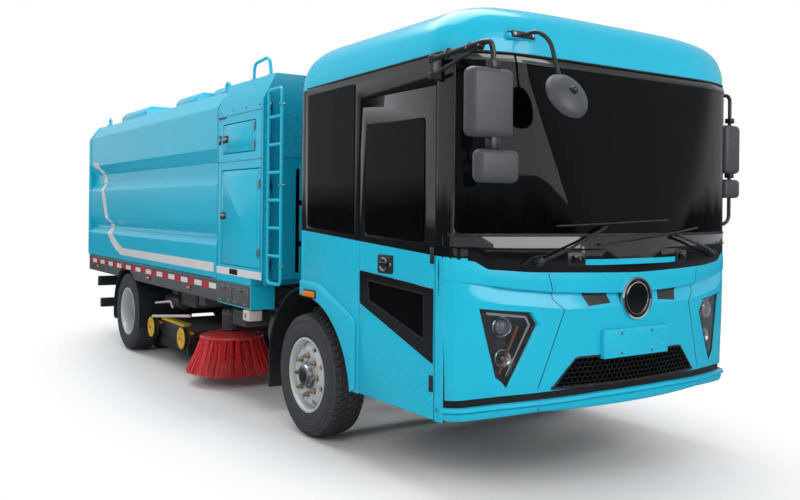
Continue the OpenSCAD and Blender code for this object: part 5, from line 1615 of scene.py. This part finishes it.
def tyre_shape(y):
    """A tyre about the wheel's axle: casing with sidewall rings, and a block tread"""
    centre = Vector((0, y, TYRE_R))
    r, h = TYRE_R, TYRE_W / 2
    rim = 0.247
    half = [(rim + 0.001, 0.07), (rim + 0.002, 0.1), (rim + 0.018, 0.106), (rim + 0.026, 0.118),
            (rim + 0.04, h - 0.008), (rim + 0.048, h - 0.005), (rim + 0.052, h - 0.007), (rim + 0.075, h - 0.002),
            (rim + 0.095, h), (rim + 0.105, h - 0.001), (rim + 0.108, h - 0.004), (rim + 0.128, h - 0.006),
            (rim + 0.131, h - 0.002), (rim + 0.136, h - 0.002), (rim + 0.139, h - 0.008), (r - 0.032, h - 0.014),
            (r - 0.022, h - 0.018), (r - 0.016, h - 0.024), (r - 0.013, h - 0.06), (r - 0.011, 0.0)]
    outline = half + [(a, -b) for a, b in reversed(half[:-1])]
    casing = lathe(outline, centre, SIDEWAYS, "tyre", 72)
    blocks = []
    for row, (y0, y1) in enumerate(((0.07, h - 0.018), (0.026, 0.062), (-0.02, 0.02), (-0.062, -0.026),
                                    (-h + 0.018, -0.07))):
        turn = math.radians(360 / TREADS / 2 * (row % 2))
        outer = abs(y0) > 0.06 or abs(y1) > 0.07
        a0, a1 = math.radians(-2.55), math.radians(2.55)
        slant = 0.012 if row in (1, 3) else 0
        low, high = r - 0.018, r - (0.003 if outer else 0.0015)
        pts = []
        for rr in (low, high):
            for (a, yy) in ((a0, y0), (a1, y0), (a1, y1), (a0, y1)):
                lean = slant * (1 if yy == y1 else -1) / r
                drop = 0.012 if outer and abs(yy) > h - 0.03 else 0.0
                reach = rr - drop
                pts.append(centre + Vector((reach * math.cos(a + lean + turn), yy, reach * math.sin(a + lean + turn))))
        box = drawn(pts, [(0, 1, 2, 3), (4, 7, 6, 5), (0, 4, 5, 1), (1, 5, 6, 2), (2, 6, 7, 3), (3, 7, 4, 0)], "tyre")
        box = chamfer(fixed(box), 0.0015, 1, 40)
        blocks.append(copies(box, about(centre, SIDEWAYS, evenly(TREADS))))
    return [casing] + blocks


def shift(shapes, x):
    """Moves the shapes along x, in their meshes"""
    for shape in shapes:
        shape.data.transform(Matrix.Translation((x, 0, 0)))
    return shapes


def hand_holes(disc, centre, at_r, y0, y1, radius):
    """Cuts the ring of holes in a wheel disc, from y0 to y1 off its centre"""
    holes = []
    for k in range(NUTS):
        a = math.radians(22.5 + 45 * k)
        x, z = at_r * math.cos(a), at_r * math.sin(a)
        holes.append(rod(centre + Vector((x, y0, z)), centre + Vector((x, y1, z)), radius, "trim_black", 20))
    return chamfer(cut(disc, *holes), 0.0015, 1, 40)


def nut_ring(centre, at_r, y):
    """Wheel nuts on their washers and studs round a hub, facing -Y"""
    hub = Vector((centre.x, y, centre.z))
    c = hub + Vector((at_r, 0, 0))
    nut = [rod(c, c - SIDEWAYS * 0.006, NUT_R * 1.35, "zinc", 18, 0.0015),
           rod(c - SIDEWAYS * 0.006, c - SIDEWAYS * 0.03, NUT_R, "brass", 6, 0.0025),
           rod(c - SIDEWAYS * 0.028, c - SIDEWAYS * 0.044, NUT_R * 0.55, "zinc", 12, 0.002)]
    return copies(joined(nut), about(hub, SIDEWAYS, evenly(NUTS)))


def front_wheels():
    """Front wheels: tyre, bright rim, dished disc, brass nuts and hub"""
    y = -1.05
    tyre = shift(tyre_shape(y), FRONT_AXLE.x)
    pair("front_tyre_*_tread", "front_wheel_*", tyre, ["front_tyre_*"])
    centre = Vector((FRONT_AXLE.x, y, TYRE_R))
    rim = lathe(RIM_PROFILE, centre, -SIDEWAYS, "wheel_silver", 72)
    disc = lathe([(0.236, 0.056), (0.236, 0.038), (0.225, 0.046), (0.187, 0.08), (0.165, 0.086), (0.09, 0.06),
                  (0.0321, 0.04), (0.0321, 0.095), (0.085, 0.096), (0.11, 0.094), (0.15, 0.1), (0.17, 0.1035),
                  (0.192, 0.1), (0.206, 0.088), (0.226, 0.064)], centre, -SIDEWAYS, "wheel_silver", 72)
    disc = hand_holes(disc, centre, 0.197, 0.02, -0.16, 0.021)
    hub = lathe([(0.0325, 0.05), (0.098, 0.094), (0.098, 0.1), (0.092, 0.106), (0.08, 0.108), (0.078, 0.13),
                 (0.072, 0.14), (0.06, 0.144), (0.045, 0.145), (0.042, 0.141), (0.0, 0.141), (0.0, 0.05)], centre,
                -SIDEWAYS, "zinc", 48)
    cap = lathe([(0.0, 0.139), (0.052, 0.14), (0.05, 0.147), (0.04, 0.151), (0.0, 0.153)], centre, -SIDEWAYS,
                "trim_black", 32)
    back = lathe(oblong(0.05, -0.04, 0.19, 0.02), centre, -SIDEWAYS, "frame_paint", 40)
    nuts = nut_ring(centre, 0.135, y - 0.0985)
    ring_bolts = copies(hex_bolt((centre.x + 0.066, y - 0.1405, centre.z), -SIDEWAYS, 0.005, "zinc", 0.7),
                        about(centre, SIDEWAYS, evenly(6)))
    valve = rod(centre + Vector((0.205, -0.1, 0.085)), centre + Vector((0.228, -0.135, 0.085)), 0.004, "brass", 8,
                0.001)
    pair("front_wheel_*_disc", "front_wheel_*", [rim, disc, hub, cap, back, nuts, ring_bolts, valve],
         ["front_wheel_*"])


def rear_wheels():
    """Twin rear wheels: two tyres, deep dished outer wheel, hub and nuts"""
    y = -1.065
    tyres = shift(tyre_shape(y) + tyre_shape(y + TWIN_GAP), REAR_AXLE.x)
    pair("rear_tyre_*_tread", "rear_wheel_*", tyres, ["rear_tyres_*"])
    centre = Vector((REAR_AXLE.x, y, TYRE_R))
    rims = [lathe(RIM_PROFILE, Vector((centre.x, yy, centre.z)), -SIDEWAYS, "wheel_silver", 72)
            for yy in (y, y + TWIN_GAP)]
    disc = lathe([(0.234, -0.075), (0.234, -0.105), (0.215, -0.118), (0.18, -0.13), (0.0452, -0.15), (0.0452, -0.115),
                  (0.165, -0.11), (0.19, -0.1), (0.22, -0.082)], centre, -SIDEWAYS, "wheel_silver", 72)
    inner = lathe([(0.234, -0.195), (0.234, -0.225), (0.215, -0.212), (0.18, -0.172), (0.0452, -0.165), (0.0452, -0.15),
                   (0.18, -0.15), (0.205, -0.165), (0.222, -0.19)], centre, -SIDEWAYS, "wheel_silver", 60)
    disc = hand_holes(disc, centre, 0.196, 0.0, 0.16, 0.022)
    hub = lathe([(0.0452, -0.17), (0.105, -0.16), (0.105, -0.1), (0.098, -0.02), (0.09, 0.02), (0.084, 0.036),
                 (0.07, 0.042), (0.0452, 0.043)], centre, -SIDEWAYS, "frame_paint", 48)
    end = lathe([(0.0, 0.03), (0.068, 0.034), (0.066, 0.05), (0.055, 0.058), (0.0, 0.06)], centre, -SIDEWAYS, "zinc",
                40)
    nuts = nut_ring(centre, 0.138, y + 0.112)
    bolts = copies(hex_bolt((centre.x + 0.077, y - 0.041, centre.z), -SIDEWAYS, 0.006, "zinc", 0.8),
                   about(centre, SIDEWAYS, evenly(8)))
    pair("rear_wheel_*_disc", "rear_wheel_*", rims + [disc, inner, hub, end, nuts, bolts],
         ["rear_wheels_*"])


# ---- Sweeping gear and chassis ----

def brush():
    """A side brush: disc, clamp bolts and flaring bristle bundles, with its arm and motor"""
    centre = Vector((-0.15, -0.87, 0))
    disc = lathe([(0.0202, 0.43), (0.0202, 0.47), (0.15, 0.47), (0.165, 0.466), (0.285, 0.432), (0.288, 0.424),
                  (0.283, 0.414), (0.2, 0.418), (0.19, 0.43)], centre, UP, "disc_red", 56)
    rng = random.Random(7)
    points, faces = [], []
    bundles, strands = 30, 34
    for b in range(bundles):
        base = 2 * math.pi * b / bundles
        for _ in range(strands):
            a = base + rng.uniform(-0.085, 0.085)
            depth = rng.random()
            spread = (a - base) * 0.9
            r0, r1 = 0.2 + 0.075 * depth, 0.35 + 0.063 * depth - abs(a - base) * 0.08
            z0, z1 = 0.432 - 0.004 * depth, 0.1 + rng.uniform(0, 0.022)
            thick = 0.0042
            levels = []
            for t in (0, 0.5, 1):
                r = r0 + (r1 - r0) * (t * 0.75 + 0.25 * t * t)
                ang = a + spread * 0.45 * t
                mid = centre + Vector((r * math.cos(ang), r * math.sin(ang), z0 + (z1 - z0) * t))
                side = Vector((-math.sin(ang), math.cos(ang), 0)) * thick * (1 - 0.25 * t)
                out = Vector((math.cos(ang), math.sin(ang), 0.3)) * thick * (1 - 0.25 * t)
                levels.append([mid + side, mid - side * 0.5 + out, mid - side * 0.5 - out])
            start = len(points)
            points += [p for level in levels for p in level]
            for k in range(2):
                for i in range(3):
                    n = (i + 1) % 3
                    faces.append((start + k * 3 + i, start + k * 3 + n, start + k * 3 + 3 + n, start + k * 3 + 3 + i))
            faces += [(start + 2, start + 1, start), (start + 6, start + 7, start + 8)]
    bristles = drawn(points, faces, "bristle_red")
    bolts = copies(hex_bolt(centre + Vector((0.235, 0, 0.446)), UP, 0.01, "zinc", 0.6), about(centre, UP, evenly(10)))
    ring = lathe([(0.262, 0.43), (0.268, 0.442), (0.28, 0.438), (0.284, 0.43)], centre, UP, "disc_red", 56)
    pair("brush_*_head", "brush_*", [disc, bristles, bolts, ring], ["brush_*"])
    arm = of_node("brush_arm_right", "frame_paint", 0.004)
    motor = lathe([(0.0, 0.672), (0.06, 0.672), (0.072, 0.664), (0.074, 0.64), (0.092, 0.636), (0.094, 0.62),
                   (0.0, 0.62)], centre, UP, "rail_grey", 32)
    caps = copies(hex_bolt(centre + Vector((0.075, 0, 0.66)), UP, 0.009, "zinc", 0.6),
                  about(centre, UP, [45, 135, 225, 315]))
    pin = lathe([(0.0202, 0.655), (0.046, 0.655), (0.044, 0.668), (0.0202, 0.67)], (0.7, -0.48, 0), UP, "zinc", 28)
    hoses = [tube([(-0.12, -0.87 + dy, 0.655), (-0.05, -0.86 + dy, 0.69), (0.15, -0.76 + dy, 0.68),
                   (0.45, -0.6 + dy, 0.672), (0.64, -0.5 + dy, 0.668)], 0.01, "hose", 0.08, 2)
             for dy in (-0.03, 0.02)]
    pair("brush_arm_*_drive", "brush_arm_*", [arm, motor, caps, pin] + hoses, ["brush_arm_*"])


def nozzle():
    """Suction nozzle with its skirts, pipe, spray bar and yellow wheels"""
    body = of_node("suction_nozzle", "frame_paint", 0.004)
    parts = [body]
    for x in (-1.656, -0.886):
        parts.append(block((x, -1.02, 0.14), (x + 0.012, 1.02, 0.26), "rubber", 0.003))
    for hand in BOTH_SIDES:
        parts += [block((-1.62, hand * 1.036 - 0.006, 0.15), (-0.91, hand * 1.036 + 0.006, 0.25), "rubber", 0.003),
                  block((-1.6, hand * 1.0 - 0.05, 0.415), (-0.93, hand * 1.0 + 0.03, 0.445), "yellow", 0.006)]
        for x in (-0.8, -1.73):
            parts += [block((x - 0.05, hand * 1.03 - 0.02, 0.36), (x + 0.05, hand * 1.03 + 0.02, 0.385), "yellow",
                            0.004), rod((x, hand * 1.01, 0.33), (x, hand * 1.05, 0.33), 0.034, "frame_paint", 24,
                                        0.003)]
    for k in range(7):
        parts.append(lathe([(0.15, 0), (0.157, 0.008), (0.157, 0.02), (0.15, 0.028)], (-1.1, 0, 0.46 + k * 0.068), UP,
                           "hose", 40))
    piece("nozzle_body", "chassis", parts, ["suction_nozzle"])
    for end, x in (("front", -0.8), ("rear", -1.73)):
        wheels = [rod((x, -1.14, 0.33), (x, 1.14, 0.33), 0.0148, "zinc", 24, 0.002)]
        for hand in BOTH_SIDES:
            centre = Vector((x, hand * 1.1, 0.33))
            axis = SIDEWAYS * hand
            wheels += [lathe([(0.0145, -0.026), (0.062, -0.024), (0.066, -0.028), (0.1, -0.028), (0.105, -0.022),
                              (0.105, 0.022), (0.1, 0.028), (0.066, 0.028), (0.062, 0.022), (0.04, 0.016),
                              (0.034, 0.03), (0.0145, 0.03)], centre, axis, "yellow", 48),
                       lathe([(0.1045, -0.022), (0.1068, -0.02), (0.1068, 0.02), (0.1045, 0.022)], centre, axis,
                             "rubber", 48)]
            wheels.append(copies(hex_bolt(centre + Vector((0.05, hand * 0.018, 0)), axis, 0.006, "zinc", 0.6),
                                 about(centre, SIDEWAYS, evenly(5))))
        piece(f"nozzle_wheels_{end}_set", f"nozzle_wheels_{end}", wheels, [f"nozzle_wheels_{end}"])


def chassis_gear():
    """Hoses, tanks, spray pipes, springs' clips and the gear seen under the body"""
    coat("frame_paint", "frame_rails", "cross_members", "front_axle", "rear_axle", "knuckle_right", "knuckle_left",
         "fan_unit")
    coat("cabin_plastic", "cab_floor")
    coat("battery_grey", "battery_pack")
    coat("frame_paint", "lift_barrel")
    coat("chrome", "lift_rod")
    y = -1.15
    gear = [tube([(-1.58, y, 0.462), (-0.48, y, 0.582)], 0.014, "pipe_white", 0, 3),
            tube([(-1.58, y + 0.03, 0.6), (-1.4, y + 0.03, 0.622), (-1.11, y + 0.03, 0.66), (-1.06, y + 0.03, 0.6)],
                 0.011, "pipe_white", 0.04, 3), rod((-1.73, -0.9, 0.615), (-1.32, -0.9, 0.615), 0.075, "frame_paint",
                                                    28, 0.01, 2), rod((-1.76, -0.9, 0.615), (-1.72, -0.9, 0.615),
            0.045, "zinc", 20, 0.004), block((-1.6, -0.94, 0.68), (-1.45, -0.86, 0.76), "rail_grey", 0.008),
            block((-1.72, -0.6, 0.62), (-1.3, -0.44, 0.66), "frame_paint", 0.005),
            block((-1.1, -1.02, 0.62), (-0.7, -0.62, 0.78), "frame_paint", 0.015, 3),
            block((-0.66, -1.0, 0.66), (-0.52, -0.8, 0.78), "rail_grey", 0.012, 3),
            block((0.36, -1.08, 0.6), (0.62, -0.84, 0.74), "frame_paint", 0.02, 3),
            rod((0.98, -0.98, 0.6), (0.98, -0.56, 0.6), 0.13, "rail_grey", 32, 0.02, 3),
            block((0.8, -0.95, 0.76), (1.2, -0.55, 0.8), "frame_paint", 0.006)]
    for y0 in (-0.92, -0.66):
        gear.append(tube(upright_arc(0.98, 0.6, 0.134, range(0, 360, 15), y0), 0.006, "zinc", 0, 1, closed=True))
    rng = random.Random(3)
    for k, (x0, x1) in enumerate(((-1.3, -0.6), (-1.2, -0.45), (-0.95, 0.3), (-0.55, 0.4), (0.3, 0.95), (0.4, 1.15))):
        yy = -0.52 - 0.11 * (k % 3) - rng.uniform(0, 0.06)
        z = 0.8 + rng.uniform(-0.02, 0.03)
        gear.append(tube([(x0, yy, z), (x0 + 0.15, yy - 0.05, z - 0.03),
                          ((x0 + x1) / 2, yy - 0.02, z - 0.1 - rng.uniform(0, 0.04)),
                          (x1 - 0.15, yy + 0.03, z - 0.02), (x1, yy, z + 0.05)], 0.011, "hose", 0.12, 2))
    for k in range(3):
        gear.append(tube([(0.55 + 0.05 * k, -0.46, 0.8), (0.62 + 0.05 * k, -0.6, 0.74), (0.8 + 0.03 * k, -0.62, 0.66),
                          (1.06, -0.48, 0.7 + 0.03 * k)], 0.01, "cable_orange", 0.08, 2))
    gear += [hex_bolt((x, -0.431, z), -SIDEWAYS, 0.01, "zinc", 0.7)
             for x in (-3.6, -3.3, -2.9, -1.9, -1.7, -0.9, 0.2, 1.2, 2.4, 2.8) for z in (0.67, 0.81)]
    for axle in (FRONT_AXLE.x, REAR_AXLE.x):
        for dx in (-0.045, 0.045):
            gear.append(tube([(axle + dx, -0.368, 0.4), (axle + dx, -0.368, 0.6), (axle + dx, -0.424, 0.6),
                              (axle + dx, -0.424, 0.4)], 0.01, "zinc", 0.02, 2))
    pair("underbody_gear_*", "chassis", gear)


def mudguards():
    """Rubber beads and stays of the mudguards"""
    coat("rubber", "mudguards")
    x, z = REAR_AXLE.x, 0.42
    parts = [tube(upright_arc(x, z, 0.497, range(-13, 194, 5), -1.195), 0.008, "rubber", 0, 2),
             block((1.281, -1.16, 0.245), (1.299, -0.885, 0.3), "trim_black", 0.004),
             tube(upright_arc(1.9, 0.432, 0.612, range(93, 181, 4), -1.165), 0.008, "rubber", 0, 2)]
    parts += [hex_bolt((1.2795, yy, zz), -AHEAD, 0.007, "zinc", 0.5) for yy in (-1.12, -0.93) for zz in (0.36, 0.41)]
    pair("mudguard_edges_*", "chassis", parts)


def rear_end():
    """Bumper bar and lamp clusters"""
    bar = of_node("rear_bumper", "trim_black", 0.006, 3)
    parts = [bar]
    for hand in BOTH_SIDES:
        for k, lens in enumerate(("lens_red", "lens_amber", "lens_clear")):
            yy = hand * (0.9 + 0.095 * k)
            parts.append(block((-3.862, yy - 0.042, 0.612), (-3.846, yy + 0.042, 0.708), lens, 0.008, 3))
            parts.append(lathe(oblong(0.03, 0, 0.034, 0.004), (-3.863, yy, 0.66), -AHEAD, "bezel", 24))
        parts.append(block((-3.886, hand * 0.8 - 0.22, 0.355), (-3.878, hand * 0.8 + 0.22, 0.415), "tape_red", 0.001,
                           1))
    parts.append(block((-3.888, -0.26, 0.345), (-3.878, 0.26, 0.425), "rail_grey", 0.004))
    piece("rear_bar", "chassis", parts, ["rear_bumper"])


# ---- Stage ----

# name, place, aim, size, power, and whether reflections show it
LAMPS = (("key", (6.5, -9.0, 7.0), (1.0, -0.6, 1.2), 6.0, 430, False),
         ("front", (11.0, 1.5, 4.5), (2.0, 0, 1.2), 5.0, 300, True),
         ("top", (-1.0, 0.0, 9.0), (-0.5, 0, 0), 8.0, 760, True),
         ("far_side", (0.0, 9.0, 6.0), (0, 0, 1.2), 6.0, 300, False),
         ("rear", (-10.0, -3.0, 5.0), (-2.0, 0, 1.2), 5.0, 260, False))
LENS, SENSOR, LENS_SHIFT = 38.146, 36.0, -0.05                       # mm, mm, share of the width
CAMERA_PLACE = (7.187, -3.921, 1.592)
CAMERA_HEADING, CAMERA_ROLL = 56.283, 0.592                          # degrees
SKY_LIGHT, SKY_TINT = 0.34, (0.86, 0.93, 1.0, 1)
DARK_BAND, PALE_BAND, BAND_EDGE = 0.06, 0.62, 0.03                   # the skyline that paint and glass reflect
ZENITH = 0.7                                                         # how bright the reflected sky is high up
FLOOR_SIZE = 60
SHADOW_HALF_LENGTH, SHADOW_HALF_WIDTH = 5.6, 2.6                     # the oval of floor that keeps the shadow


def surroundings(level):
    """White to the camera, soft light to matt surfaces, and a skyline to paint and glass"""
    world = bpy.data.worlds.new("studio")
    bpy.context.scene.world = world
    world.use_nodes = True
    tree = world.node_tree
    tree.nodes.clear()
    paths = add(tree, "ShaderNodeLightPath").outputs
    seen = maths(tree, "MAXIMUM", paths["Is Camera Ray"], paths["Is Transmission Ray"])
    sky = add(tree, "ShaderNodeBackground", {"Color": SKY_TINT, "Strength": SKY_LIGHT * level})
    seen_sky = add(tree, "ShaderNodeBackground", {"Color": (1, 1, 1, 1), "Strength": 1.0})
    place = add(tree, "ShaderNodeTexCoord").outputs["Generated"]
    height = add(tree, "ShaderNodeSeparateXYZ", {0: place}).outputs["Z"]
    # the skyline is dark, under a pale sky
    ripple = add(tree, "ShaderNodeTexNoise", {"Vector": place, "Scale": 9.0, "Detail": 3.0})
    skyline = maths(tree, "ADD", height, maths(tree, "MULTIPLY", maths(tree, "SUBTRACT", ripple.outputs[0], 0.5), 0.05))
    low = add(tree, "ShaderNodeMapRange", {0: skyline, 1: 0.0, 2: BAND_EDGE, 3: DARK_BAND, 4: PALE_BAND})
    bands = add(tree, "ShaderNodeMapRange", {0: height, 1: 0.05, 2: 0.8, 3: 1.0, 4: ZENITH})
    strength = maths(tree, "MULTIPLY", low.outputs[0], bands.outputs[0])
    glossy = add(tree, "ShaderNodeBackground", {"Color": (0.92, 0.96, 1, 1), "Strength": strength})
    mix_gloss = add(tree, "ShaderNodeMixShader", {0: paths["Is Glossy Ray"], 1: sky.outputs[0], 2: glossy.outputs[0]})
    mix = add(tree, "ShaderNodeMixShader", {0: seen, 1: mix_gloss.outputs[0], 2: seen_sky.outputs[0]})
    out = add(tree, "ShaderNodeOutputWorld")
    tree.links.new(mix.outputs[0], out.inputs[0])


def ground(colour):
    """Pale floor that fades to white away from the truck's shadow"""
    deselect()
    bpy.ops.mesh.primitive_plane_add(size=FLOOR_SIZE, location=(0, 0, -0.001))
    floor = bpy.context.object
    floor.name = "floor"
    material = bpy.data.materials.new("floor")
    material.use_nodes = True
    tree, shader = principled(material, Base_Color=(*colour, 1), Roughness=0.9)
    paths = add(tree, "ShaderNodeLightPath").outputs
    white = add(tree, "ShaderNodeEmission", {"Color": (1, 1, 1, 1), "Strength": 1.0})
    # the floor far off reads as white, and close to the truck it keeps the shadow
    place = add(tree, "ShaderNodeTexCoord").outputs["Object"]
    parts = add(tree, "ShaderNodeSeparateXYZ", {0: place}).outputs
    across = maths(tree, "POWER", maths(tree, "DIVIDE", parts["Y"], SHADOW_HALF_WIDTH), 2.0)
    along = maths(tree, "POWER", maths(tree, "DIVIDE", parts["X"], SHADOW_HALF_LENGTH), 2.0)
    reach = between(tree, maths(tree, "SQRT", maths(tree, "ADD", across, along)), 0.55, 1.0)
    cut_in = maths(tree, "MULTIPLY", reach, maths(tree, "MAXIMUM", paths["Is Camera Ray"],
                                                  paths["Is Transmission Ray"]))
    dim = add(tree, "ShaderNodeBsdfDiffuse", {"Color": (0.1, 0.11, 0.12, 1)})
    near = add(tree, "ShaderNodeMixShader", {0: paths["Is Glossy Ray"], 1: shader.outputs[0], 2: dim.outputs[0]})
    mix = add(tree, "ShaderNodeMixShader", {0: cut_in, 1: near.outputs[0], 2: white.outputs[0]})
    for node in tree.nodes:
        if node.type == "OUTPUT_MATERIAL":
            tree.links.new(mix.outputs[0], node.inputs[0])
    floor.data.materials.append(material)


def lamps(level):
    """Soft square lamps round the truck"""
    for name, place, aim, size, power, mirrored in LAMPS:
        light = bpy.data.lights.new(name, "AREA")
        light.shape, light.size, light.energy = "SQUARE", size, power * level
        obj = bpy.data.objects.new(name, light)
        bpy.context.scene.collection.objects.link(obj)
        obj.location = place
        obj.visible_glossy = mirrored
        obj.rotation_euler = (Vector(aim) - Vector(place)).to_track_quat("-Z", "Y").to_euler()


def camera():
    """The camera, ahead of the truck and to its right"""
    lens = bpy.data.cameras.new("camera")
    lens.lens, lens.sensor_width, lens.shift_y = LENS, SENSOR, LENS_SHIFT
    lens.clip_end = 200
    obj = bpy.data.objects.new("camera", lens)
    bpy.context.scene.collection.objects.link(obj)
    heading, level, roll = math.radians(CAMERA_HEADING), math.radians(90), math.radians(CAMERA_ROLL)
    obj.matrix_world = (Matrix.Translation(CAMERA_PLACE) @ Matrix.Rotation(heading, 4, "Z")
                        @ Matrix.Rotation(level, 4, "X") @ Matrix.Rotation(roll, 4, "Z"))
    bpy.context.scene.camera = obj


def stage(floor_colour, light_level):
    """Pale floor, soft lamps, white surroundings and the camera"""
    bpy.context.scene.view_settings.view_transform = "Standard"
    surroundings(light_level)
    ground(floor_colour)
    lamps(light_level)
    camera()


# ---- Add-on ----

class SweeperColours(bpy.types.PropertyGroup):
    body: bpy.props.FloatVectorProperty(name="Body paint", description="Colour of the cab, cabinet and hopper",
                                        default=FINISHES["cyan"][0], size=3, min=0, max=1, subtype="COLOR")
    brush: bpy.props.FloatVectorProperty(name="Brush", description="Colour of the side brushes' bristles",
                                         default=FINISHES["bristle_red"][0], size=3, min=0, max=1, subtype="COLOR")
    wheels: bpy.props.FloatVectorProperty(name="Wheels", description="Colour of the road wheels",
                                          default=FINISHES["wheel_silver"][0], size=3, min=0, max=1, subtype="COLOR")


class SweeperStage(bpy.types.PropertyGroup):
    floor: bpy.props.FloatVectorProperty(name="Floor", description="Colour of the floor", default=(0.8, 0.8, 0.8),
                                         size=3, min=0, max=1, subtype="COLOR")
    light: bpy.props.FloatProperty(name="Light", description="Level of all the lamps together", default=1.0, min=0.1,
                                   max=3, subtype="FACTOR")


def operator(name, label, text, *builders):
    """An operator class that builds one group of pieces"""
    def execute(self, context):
        colours = context.scene.sweeper_colours
        for key, colour in (("cyan", colours.body), ("bristle_red", colours.brush), ("wheel_silver", colours.wheels)):
            FINISHES[key] = (tuple(colour), *FINISHES[key][1:])
        for build in builders:
            build()
        return {"FINISHED"}
    return type("SWEEPER_OT_" + name, (bpy.types.Operator,),
                {"bl_idname": "sweeper." + name, "bl_label": label, "__doc__": text, "execute": execute})


PIECES = [operator("cab_shell", "Cab shell", "Builds the cab's skin, roof and wheel arch flares", cab_shell, cab_roof,
                   arch_flares), operator("cab_glazing", "Cab glazing",
                                          "Builds the windscreen, cowl, wipers and quarter windows", windscreen,
                                          wipers, side_windows), operator("nose", "Nose",
        "Builds the front panel, grille, emblem disc and plate pad", nose, nose_details),
          operator("headlamps", "Headlamps", "Builds the two headlamps", headlamp_unit),
          operator("doors", "Doors", "Builds the cab doors with their glass and handles", door),
          operator("mirrors", "Mirrors", "Builds the mirrors and their arms", mirrors),
          operator("cab_inside", "Cab inside", "Builds the dashboard, steering wheel and seats", cab_inside),
          operator("cabinet", "Equipment cabinet", "Builds the cabinet, its doors and tool boxes", cabinet,
                   cabinet_doors), operator("ladder", "Ladder", "Builds the access ladder and grab rail", ladder),
          operator("hopper", "Hopper", "Builds the hopper shell, roof fittings and side trim", hopper_body,
                   hopper_top, hopper_side), operator("tailgate", "Tailgate", "Builds the hopper's rear door",
        tailgate), operator("front_wheels", "Front wheels", "Builds the steered wheels and tyres", front_wheels),
          operator("rear_wheels", "Rear wheels", "Builds the twin rear wheels and tyres", rear_wheels),
          operator("brushes", "Side brushes", "Builds the side brushes and their arms", brush),
          operator("nozzle", "Suction nozzle", "Builds the suction nozzle and its yellow wheels", nozzle),
          operator("underbody", "Underbody", "Builds the gear seen under the body, mudguards and rear end",
                   chassis_gear, mudguards, rear_end),]


class SWEEPER_OT_stage(bpy.types.Operator):
    """Sets the floor, lamps, surroundings and camera"""
    bl_idname = "sweeper.stage"
    bl_label = "Stage"

    def execute(self, context):
        settings = context.scene.sweeper_stage
        stage(tuple(settings.floor), settings.light)
        return {"FINISHED"}


class SWEEPER_PT_panel(bpy.types.Panel):
    """Lists the sweeper's colours and its pieces"""
    bl_label = "Street sweeper"
    bl_idname = "SWEEPER_PT_panel"
    bl_space_type = "VIEW_3D"
    bl_region_type = "UI"
    bl_category = "Sweeper"

    def draw(self, context):
        for settings, names in ((context.scene.sweeper_colours, ("body", "brush", "wheels")),
                                (context.scene.sweeper_stage, ("floor", "light"))):
            for name in names:
                self.layout.prop(settings, name)
        for each in PIECES + [SWEEPER_OT_stage]:
            self.layout.operator(each.bl_idname)


CLASSES = [SweeperColours, SweeperStage, *PIECES, SWEEPER_OT_stage, SWEEPER_PT_panel]


def register():
    """Makes the settings and operators known to Blender"""
    for each in CLASSES:
        bpy.utils.register_class(each)
    bpy.types.Scene.sweeper_colours = bpy.props.PointerProperty(type=SweeperColours)
    bpy.types.Scene.sweeper_stage = bpy.props.PointerProperty(type=SweeperStage)


def unregister():
    """Takes the settings and operators away again"""
    del bpy.types.Scene.sweeper_stage
    del bpy.types.Scene.sweeper_colours
    for each in reversed(CLASSES):
        bpy.utils.unregister_class(each)


def main():
    """Builds every group of pieces in order, then the stage"""
    register()
    for each in PIECES + [SWEEPER_OT_stage]:
        group_name, name = each.bl_idname.split(".")
        getattr(getattr(bpy.ops, group_name), name)()


if __name__ == "__main__":
    main()
